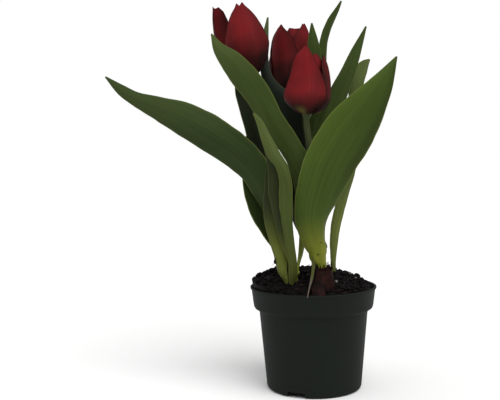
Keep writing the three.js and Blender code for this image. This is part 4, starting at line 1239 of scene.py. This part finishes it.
# A flower stands on its `seat` and its tips reach its `crown`; its first outer tepal faces `turn`. The
# places of its stem lead from the shoot to the seat.
BLOOMS = {
    "left": {
        "seat": (-56, -5, 298.5), "crown": (-65.5, -7, 362.5), "turn": 265,
        "stem": [(-24.5, -26, 124), (-32.5, -18, 168), (-42, -11, 225)],
        "cup": {"radius": 21.5, "gape": 0.3, "belly": (0.4, 0.64, 0.9, 1, 0.94), "dark_and_shade_below": (0.25, 0.74)},
        "inner": {"drop": 9, "radius": 18.2},
        "outer_1": {
            "span": 70, "width": (0.16, 0.34, 0.56, 0.85, 1, 0.8, 0.5, 0.1), "horns": 3.0, "shade": 0.1,
        },
        "outer_2": {"radius": 20.4, "drop": 6, "shade": 0.3},
        "outer_3": {
            "radius": 17, "span": 60, "flare": 18, "over": True, "gape": 0.15, "drop": -8,
            "belly": CUP["belly"], "width": (0.16, 0.5, 0.82, 0.98, 1, 0.98, 0.82, 0.2), "shade": 0.5,
        },
    },
    "back": {
        "seat": (-17.5, 31, 278), "crown": (-16, 33, 348), "turn": 225,
        "stem": [(4, 15.5, 141.5), (-4.5, 20, 189.5), (-12.5, 27, 242)],
        "cup": {"radius": 20.5, "gape": 0.7, "span": 63, "dark_and_shade_below": (0.25, 0.82)},
        "inner": {"drop": 5, "width": (0.16, 0.5, 0.82, 0.98, 1, 0.96, 0.8, 0.3)},
        "outer_1": {"shade": 0.3},
        "outer_2": {"turn": 322, "heel": 43, "radius": 19.7, "drop": -1.5, "shade": 0.3},
        "outer_3": {
            "turn": 150, "heel": 21, "over": True, "gape": 0.5, "belly": (0.56, 0.88, 1.02, 1, 0.9),
            "width": (0.16, 0.5, 0.82, 0.98, 0.95, 0.52, 0.3, 0.04), "shade": 0.5,
        },
    },
    "right": {
        "seat": (-5.5, -26, 260.5), "crown": (-0.5, -26, 318.5), "turn": 241,
        "stem": [(2.5, -31.5, 139.5), (0, -29, 179.5), (-3.5, -27, 227.5)],
        "cup": {"radius": 19.6, "gape": 0.3, "belly": (0.52, 0.8, 0.94, 0.87, 0.8)},
        "inner": {"drop": 6, "radius": 16, "shade": 0.2},
        "outer_1": {
            "over": True, "radius": 20, "span": 72, "gape": 0.45, "drop": -1.5,
            "belly": (0.52, 0.84, 1.04, 0.92, 0.8), "width": (0.16, 0.5, 0.82, 1.02, 0.9, 0.64, 0.36, 0.04),
        },
        "outer_2": {
            "turn": 350, "span": 46, "heel": 46, "drop": 5, "gape": 0.5, "belly": (0.52, 0.82, 0.98, 1, 0.95),
            "width": (0.16, 0.5, 0.82, 0.98, 1, 0.96, 0.8, 0.2), "shade": 0.6,
        },
        "outer_3": {"drop": 3},
    },
}


def bloom_axis(bloom):
    """The direction in which a flower stands."""
    return (Vector(bloom["crown"]) - Vector(bloom["seat"])).normalized()


def make_stem(shoot, bloom):
    """A round stem, grown ring by ring from its bulb to the flower's seat."""
    axis = bloom_axis(bloom)
    seat = Vector(bloom["seat"])
    last = [seat - STEM_STRAIGHT * axis, seat - RECEPTACLE_GAP * axis]
    path = smooth([shoot["foot"], shoot["collar"], *bloom["stem"], *last])
    bm = bmesh.new()
    start = bmesh.ops.create_circle(bm, cap_ends=True, segments=STEM_SIDES, radius=STEM_RADIUS * MM)
    ring = start["verts"]
    faces = bm.faces[:]
    previous = Vector((0, 0, 0))
    direction = Vector((0, 0, 1))
    radius = STEM_RADIUS
    for i in range(STEM_RINGS + 1):
        share = i / STEM_RINGS
        centre = path(share)
        new_direction = heading(path, share)
        widened = 1 - fade((seat - centre).length, 0.0, RECEPTACLE_DEPTH)
        new_radius = STEM_RADIUS + (RECEPTACLE_RADIUS - STEM_RADIUS) * widened
        if i:
            grown = bmesh.ops.extrude_face_region(bm, geom=faces)["geom"]
            if i > 1:   # the first face stays as the foot, and later ones would be walls inside the stem
                bmesh.ops.delete(bm, geom=faces, context="FACES_ONLY")
            faces = [item for item in grown if isinstance(item, bmesh.types.BMFace)]
            ring = [item for item in grown if isinstance(item, bmesh.types.BMVert)]
        turn = direction.rotation_difference(new_direction).to_matrix().to_4x4()
        grow = Matrix.Scale(new_radius / radius, 4)
        shift = Matrix.Translation(centre * MM) @ turn @ grow @ Matrix.Translation(-previous * MM)
        bmesh.ops.transform(bm, matrix=shift, verts=ring)
        previous, direction, radius = centre, new_direction, new_radius
    bmesh.ops.recalc_face_normals(bm, faces=bm.faces[:])
    return bm


# Green flower stem: smooth and a little glossy, faintly ridged and streaked along its length.
stem_skin, tree, shader = start_material(
    "smooth tulip stem", Roughness=0.45, IOR=1.42, Specular_IOR_Level=0.3
)
place = add_node(tree, "ShaderNodeTexCoord")
drawn_out = add_node(
    tree,
    "ShaderNodeMapping",
    values={"Scale": (1.0, 1.0, STEM_RIDGE_STRETCH)},
    links={"Vector": place.outputs["Object"]},
)
stem_lines = add_node(
    tree,
    "ShaderNodeTexNoise",
    values={"Scale": 1 / (STEM_RIDGE * MM), "Detail": 3.0},
    links={"Vector": drawn_out.outputs["Vector"]},
)
stem_colour = add_node(
    tree,
    "ShaderNodeMix",
    settings={"data_type": "RGBA"},
    values={6: to_linear("#2f3a1b"), 7: to_linear("#485229")},
    links={0: stem_lines.outputs["Fac"]},
)
tree.links.new(stem_colour.outputs[2], shader.inputs["Base Color"])
relief = add_node(
    tree,
    "ShaderNodeBump",
    values={"Strength": 0.3, "Distance": 0.2 * MM},
    links={"Height": stem_lines.outputs["Fac"]},
)
tree.links.new(relief.outputs["Normal"], shader.inputs["Normal"])

for name, bloom in BLOOMS.items():
    stem = finish_piece(f"{name}_flower_stem", make_stem(SHOOTS[name], bloom), stem_skin)
    stand_in(stem, f"stem_{name}")

# ---------------------------------------------------------------- flowers
# Each flower has three outer and three inner tepals, which overlap in a cup round the pistil. A tepal is a
# thick, velvety petal with fine lines that fan from its foot, a shallow groove down its middle, and a darker,
# uneven rim.

PETAL_RED = "#701c1f"
# The dark red of painted shade and of the tepals' darker feet.
PETAL_DARK_AND_SHADE = "#2a1715"
PETAL_FOOT = "#5c5a2c"
TEPAL_THICKNESS = 0.8
OUTER_SEAT = 5.1            # distance of the outer tepals' feet from the flower's axis
INNER_SEAT = 3.5
OUTER_BASE = -1.0           # height of their feet over the flower's seat
INNER_BASE = 0.8
INNER_STEP = 2.9            # how much smaller the inner cup's radius is
LEAST_REACH = 2.2           # no part of a tepal is nearer the axis
OVERLAP = 1.9               # how far a tepal that is `over` stands outside the cup
TILT = 0.68                 # how far any other tepal's margins stand out at one side and in at the other
GROOVE_DEPTH = 0.45
GROOVE_WIDTH = 0.13         # as a share of the tepal's half width
FOLD_DEPTH = 0.5
OUTER_TEPAL = (40, 70)      # mesh squares across and along
INNER_TEPAL = (28, 56)
TEPAL_HALF = 22.1           # half the width of a tepal
PETAL_LINE_SPACING = 0.85   # coarser than life, so that the lines show


def seat_bloom(bloom):
    """The matrix that puts what is made round +Z on a flower's seat."""
    lean = Vector((0, 0, 1)).rotation_difference(bloom_axis(bloom)).to_matrix().to_4x4()
    return Matrix.Translation(Vector(bloom["seat"]) * MM) @ lean


def cup_outline(gape, start, radius, belly):
    """Half outline of a cup, as shares of its radius and height."""
    heights = (0, 0.035, 0.12, 0.26, 0.42, 0.6, 0.82, 1)
    reaches = (start / radius, *belly, 0.6 + 0.4 * gape, 0.2 + 0.75 * gape)
    return smooth([(reach, height, 0) for reach, height in zip(reaches, heights)])


def tepal_surface(shape):
    """Gives the points of a tepal in its cup, as blade_surface does for a leaf."""
    radius, rise, span, heel, over = [shape[key] for key in ("radius", "height", "span", "heel", "over")]
    outline = cup_outline(shape["gape"], shape["start"], radius, shape["belly"])
    widths = smooth([(share, 0, 0) for share in shape["width"]])
    middle = math.radians(shape["turn"])

    @functools.lru_cache(maxsize=None)
    def cut(along):
        point = outline(along)
        slope = heading(outline, along)
        normal = Vector((slope.y * rise, -slope.x * radius)).normalized()
        half_width = math.radians(span) * radius * widths(along).x
        distance = max(point.x * radius, LEAST_REACH)
        clear = min(1, 3 * along)
        half_span = min(half_width / distance, math.radians(heel + (span - heel) * clear**6))
        return distance, shape["base"] + point.y * rise, normal, clear, half_span

    def place(across, along, lift=0.0):
        distance, up, normal, clear, half_span = cut(along)
        lap = clear * (OVERLAP if over else TILT * across)
        groove = GROOVE_DEPTH * math.exp(-((across / GROOVE_WIDTH) ** 2)) * math.sin(math.pi * along)
        folds = FOLD_DEPTH * math.sin(8 * across + 3 * along + middle)
        folds = folds * math.sin(math.pi * along) * abs(across)
        out = distance + lap + (lift + folds - groove) * normal.x
        angle = middle + across * half_span
        horn = shape["horns"] * (abs(across) - 0.5) * fade(along, 0.965, 1.0)
        height = up + horn + (lift + folds - groove) * normal.y
        return Vector((out * math.cos(angle), out * math.sin(angle), height))

    return place


def petal_tint(shade, dark_and_shade_below):
    """Red with painted shade on a tepal in shadow, darker towards the foot, partly painted shade under the
    cup, and darker towards the sides, with a green-yellow streak up from the foot.
    """
    red, deep, foot = [to_linear(colour) for colour in (PETAL_RED, PETAL_DARK_AND_SHADE, PETAL_FOOT)]

    def tint(across, along, point):
        # Painted shade darkens the red: `shade` on a tepal in shadow, less towards its tip, and `low` on its
        # darker foot, partly painted shade under the cup. `side` darkens towards its margins, and `cloud` is
        # its own uneven tone.
        low = 1 - fade(along, *dark_and_shade_below)
        side = abs(across) ** 2
        cloud = 0.22 * noise.noise(point / 11)
        dark = shade * (1 - 0.4 * fade(along, 0.7, 1.0)) + 0.84 * low + 0.4 * side + cloud
        colour = mixed(red, deep, min(1.0, max(0.0, dark)))
        green = (1 - fade(along, 0.12, 0.31)) * (1 - fade(abs(across), 0.05, 0.2 + 0.4 * low))
        return mixed(colour, foot, 0.85 * green)

    return tint


def make_tepal(bloom, ring, number):
    """One tepal of a flower; its own entries go before its cup's, and those before what all cups share."""
    height = (Vector(bloom["crown"]) - Vector(bloom["seat"])).length
    inner = ring == "inner"
    cup = {**CUP, **bloom["cup"]}
    nested = {"radius": cup["radius"] - INNER_STEP, "gape": cup["gape"] - 0.1, "span": 60, **bloom["inner"]}
    shape = {
        "turn": bloom["turn"] + 120 * (number - 1) + (60 if inner else 0),
        "start": INNER_SEAT if inner else OUTER_SEAT,
        "base": INNER_BASE if inner else OUTER_BASE,
        # Inner tepals stand deeper in the cup and get painted shade.
        "shade": 0.25 if inner else 0.0,
        **cup,
        **(nested if inner else {}),
        **bloom.get(f"{ring}_{number}", {}),
    }
    shape["height"] = height - shape["drop"]
    squares = INNER_TEPAL if inner else OUTER_TEPAL
    tint = petal_tint(shape["shade"], shape["dark_and_shade_below"])
    bm = make_blade(tepal_surface(shape), squares, TEPAL_THICKNESS, tint, CRIMP)
    foot = compass(shape["turn"]) * shape["start"] * MM
    lean = Matrix.Rotation(math.radians(shape["flare"]), 4, compass(shape["turn"] + 90))
    bm.transform(seat_bloom(bloom) @ Matrix.Translation(foot) @ lean @ Matrix.Translation(-foot))
    return bm


# A dark red tulip petal: velvety and nearly matt, with fine darker and lighter lines along it.
petal_skin, tree, shader = start_material(
    "velvety tulip petal", Roughness=0.62, IOR=1.4, Specular_IOR_Level=0.06
)
lines, lined, where = streaked(
    tree, (TEPAL_HALF / PETAL_LINE_SPACING, 2.4, 0.0), 0.7, (0.34, 0.7), (0.86, 0.8, 0.82), (1.12, 1.1, 1.1)
)
petal_colour = rimmed(tree, where, lined, 0.9, 0.7, "#2a0d10")
tree.links.new(petal_colour, shader.inputs["Base Color"])
relief = add_node(
    tree,
    "ShaderNodeBump",
    values={"Strength": 0.55, "Distance": 0.3 * MM},
    links={"Height": lines},
)
tree.links.new(relief.outputs["Normal"], shader.inputs["Normal"])

for name, bloom in BLOOMS.items():
    for ring in ("outer", "inner"):
        for number in (1, 2, 3):
            tepal = make_tepal(bloom, ring, number)
            piece = finish_piece(f"{name}_{ring}_petal_{number}", tepal, petal_skin)
            stand_in(piece, f"tepal_{name}_{ring}_{number}")

# ---------------------------------------------------------------- pistils and stamens
# In the middle of each flower stands a green seed pod with a three-lobed stigma, and six stamens round it,
# each a thread with a dark, powdery anther on top.

# Radius and height of the pod with its stigma, and of one stamen.
POD_PROFILE = [(0, 0.35), (2.3, 0.35), (1.9, 3), (2.1, 9), (1.6, 15), (3, 17.2), (2.2, 18.4), (0, 18)]
STAMEN_PROFILE = [(0, 0), (0.7, 0), (0.5, 10), (1.1, 11), (0.6, 18.5), (0, 18.5)]
POD_STEPS = (36, 36)        # round it and up it
STAMEN_STEPS = (12, 26)
STAMEN_COUNT = 6
STAMEN_PLACE = (1.9, 0, 0.6)
STAMEN_LEAN = 12            # degrees outwards
ANTHERS_FROM = 10.4         # height on the stamen at which the anther starts
ANTHER_FADE = 0.8           # height over which the thread's colour turns to the anther's
FLESH_GRAIN = 2.0           # spacing of the mottles in the green


def rounded(profile, count):
    """A profile with its corners eased, for turning."""
    curve = smooth([(radius, height, 0) for radius, height in profile])
    points = [curve(i / count) for i in range(count + 1)]
    points[0].x = points[-1].x = 0
    return [(max(point.x, 0), point.y) for point in points]


def make_pistil(bloom):
    """The pod with its three-lobed stigma, and the stamens round it."""
    round_pod, up_pod = POD_STEPS
    round_stamen, up_stamen = STAMEN_STEPS
    bm = turned(rounded(POD_PROFILE, up_pod), round_pod)
    for vertex in bm.verts:
        around = math.atan2(vertex.co.y, vertex.co.x)
        lobes = 0.18 * math.cos(3 * around) * fade(vertex.co.z / MM, 14.5, 17)
        vertex.co.xy *= 1 + lobes + 0.06 * math.cos(3 * around)
    pod_count = len(bm.verts)
    anther = bm.verts.layers.float.new("anther")
    for i in range(STAMEN_COUNT):
        stamen = turned(rounded(STAMEN_PROFILE, up_stamen), round_stamen)
        lean = Matrix.Rotation(math.radians(STAMEN_LEAN), 4, "Y")
        turn = Matrix.Rotation(math.tau * (i + 0.5) / STAMEN_COUNT, 4, "Z")
        stamen.transform(turn @ Matrix.Translation(Vector(STAMEN_PLACE) * MM) @ lean)
        mesh = bpy.data.meshes.new("stamen")
        stamen.to_mesh(mesh)
        stamen.free()
        bm.from_mesh(mesh)
        bpy.data.meshes.remove(mesh)
    bm.verts.ensure_lookup_table()
    for vertex in bm.verts[pod_count:]:
        vertex[anther] = fade(vertex.co.z / MM, ANTHERS_FROM, ANTHERS_FROM + ANTHER_FADE)
    bm.transform(seat_bloom(bloom))
    return bm


# The pod and threads are fleshy pale green; the anthers are nearly black with pollen.
pod_skin, tree, shader = start_material(
    "fleshy pod and anthers", Roughness=0.6, IOR=1.42, Specular_IOR_Level=0.3
)
anther_share = add_node(tree, "ShaderNodeAttribute", settings={"attribute_name": "anther"})
flesh_colour = mottled(tree, FLESH_GRAIN, 3.0, ("#7f8c47", "#a5ad6b"))[0]
pollen_colour = add_node(
    tree,
    "ShaderNodeMix",
    settings={"data_type": "RGBA"},
    values={7: to_linear("#1b1320")},
    links={0: anther_share.outputs["Fac"], 6: flesh_colour},
)
tree.links.new(pollen_colour.outputs[2], shader.inputs["Base Color"])

for name, bloom in BLOOMS.items():
    pistil = finish_piece(f"{name}_pistil_and_stamens", make_pistil(bloom), pod_skin)
    stand_in(pistil, f"pistil_{name}")

# ---------------------------------------------------------------- dry strand
# A dry strip of old sheath hangs from the right bulb's collar over the soil to the rim: green at its top,
# then a thin grey-brown thread.

STRAND_GREEN = "#484d20"
STRAND_DRY = "#5e544b"
STRAND_THICKNESS = 0.7
STRAND_SQUARES = (6, 60)
STRAND_HALF = 1.4           # half the strip's width at its top
THREAD_SPACING = 0.35
STRAND_ROWS = [
    (-3.4, -40.4, 131, 1.0, 20, 262), (-2.6, -40, 124, 2.8, 20, 262), (-3, -41.5, 117.5, 2.6, 20, 262),
    (-4.5, -44, 110.5, 2.3, 20, 262), (-6.9, -51, 104.5, 1.2, 10, 262), (-8.9, -58.5, 99, 0.9, 10, 262),
    (-9.6, -61, 96.5, 0.9, 10, 262),
]


def strand_tint(_across, along, _point):
    """Green at the top, then grey-brown."""
    return mixed(to_linear(STRAND_GREEN), to_linear(STRAND_DRY), fade(along, 0.42, 0.62))


strand_surface = blade_surface(STRAND_ROWS, (0, 1, 0))
strand_bm = make_blade(strand_surface, STRAND_SQUARES, STRAND_THICKNESS, strand_tint)

# Dry sheath: papery, matt, with fine fibres along it.
dry_sheath, tree, shader = start_material(
    "dry papery sheath", Roughness=0.7, IOR=1.45, Specular_IOR_Level=0.2
)
tint = add_node(tree, "ShaderNodeAttribute", settings={"attribute_name": "tint"})
where = add_node(tree, "ShaderNodeAttribute", settings={"attribute_name": "blade"})
threads = add_node(
    tree,
    "ShaderNodeMapping",
    values={"Scale": (STRAND_HALF / THREAD_SPACING, 6.0, 0.0)},
    links={"Vector": where.outputs["Vector"]},
)
thread_noise = add_node(
    tree,
    "ShaderNodeTexNoise",
    values={"Scale": 1.0, "Detail": 3.0},
    links={"Vector": threads.outputs["Vector"]},
)
sheath_colour = add_node(
    tree,
    "ShaderNodeMix",
    settings={"data_type": "RGBA", "blend_type": "MULTIPLY"},
    values={7: (0.7, 0.68, 0.62, 1.0)},
    links={0: thread_noise.outputs["Fac"], 6: tint.outputs["Color"]},
)
tree.links.new(sheath_colour.outputs[2], shader.inputs["Base Color"])
strand = finish_piece("dry_sheath_strand", strand_bm, dry_sheath)
stand_in(strand, "dry_strand")

# ---------------------------------------------------------------- torn skins
# Two loose bits of brown bulb skin: a scrap that the left shoot tore off as it came up, which clings to the
# margin of its outermost leaf, and a flap that hangs down the front of the right bulb and lies on the soil.

SCRAP_PLACE = (-36.7, -32.0, 125.4)
SCRAP_SIZE = (3.4, 6.2)     # width and height
SCRAP_THICKNESS = 0.3
SCRAP_SQUARES = (14, 24)
FLAP_THICKNESS = 0.4
FLAP_SQUARES = (36, 48)
FLAP_CRIMP = 0.9
FLAP_WAVE = (0.5, 1.5, 0.6)
FLAP_ROWS = [
    (3, -44.4, 110, 8, 46, 262), (2.6, -46.6, 107, 11, 56, 262), (1.6, -49.4, 103.2, 13, 54, 262),
    (0.4, -52.2, 99.6, 14, 46, 262), (-0.8, -55.2, 96.2, 12, 40, 262),
]


def make_scrap():
    """A small upright bit with a ragged outline, narrow at its ends and curled back at its sides."""
    bm = bmesh.new()
    bmesh.ops.create_grid(bm, x_segments=SCRAP_SQUARES[0], y_segments=SCRAP_SQUARES[1], size=1.0)
    width, height = SCRAP_SIZE
    for vertex in bm.verts:
        across, along = vertex.co.x, vertex.co.y
        ragged = 0.75 + 0.5 * noise.noise(Vector((across, 2.3 * along, 4)))
        curl = 1.1 * across**2 + 0.5 * noise.noise(Vector((2 * across, 2 * along, 9)))
        share = ragged * (1 - 0.55 * along**2)
        offset = Vector((across * width / 2 * share, -curl, along * height / 2 * ragged))
        vertex.co = (Vector(SCRAP_PLACE) + offset) * MM
    bmesh.ops.recalc_face_normals(bm, faces=bm.faces[:])
    bmesh.ops.solidify(bm, geom=bm.faces[:], thickness=SCRAP_THICKNESS * MM)
    return bm


whole_flap = blade_surface(FLAP_ROWS, FLAP_WAVE)


def flap_surface(across, along, lift):
    """The flap with its two margins torn."""
    margin = Vector((3.1 * along, math.copysign(3, across), 6))
    ragged = 0.9 + 0.3 * noise.fractal(margin, 0.9, 2.1, 3)
    return whole_flap(across * ragged, along, lift)


flap_bm = make_blade(flap_surface, FLAP_SQUARES, FLAP_THICKNESS, crimp=FLAP_CRIMP)
for name, bm in (("torn_skin_scrap", make_scrap()), ("torn_skin_flap", flap_bm)):
    torn_skin = finish_piece(name, bm, tunic)
    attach(torn_skin, "root")

# ---------------------------------------------------------------- close
bpy.context.view_layer.update()
boxes = {"cad": cad_box, "visual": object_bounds()}
{name: [list(corner) for corner in box] for name, box in boxes.items()}
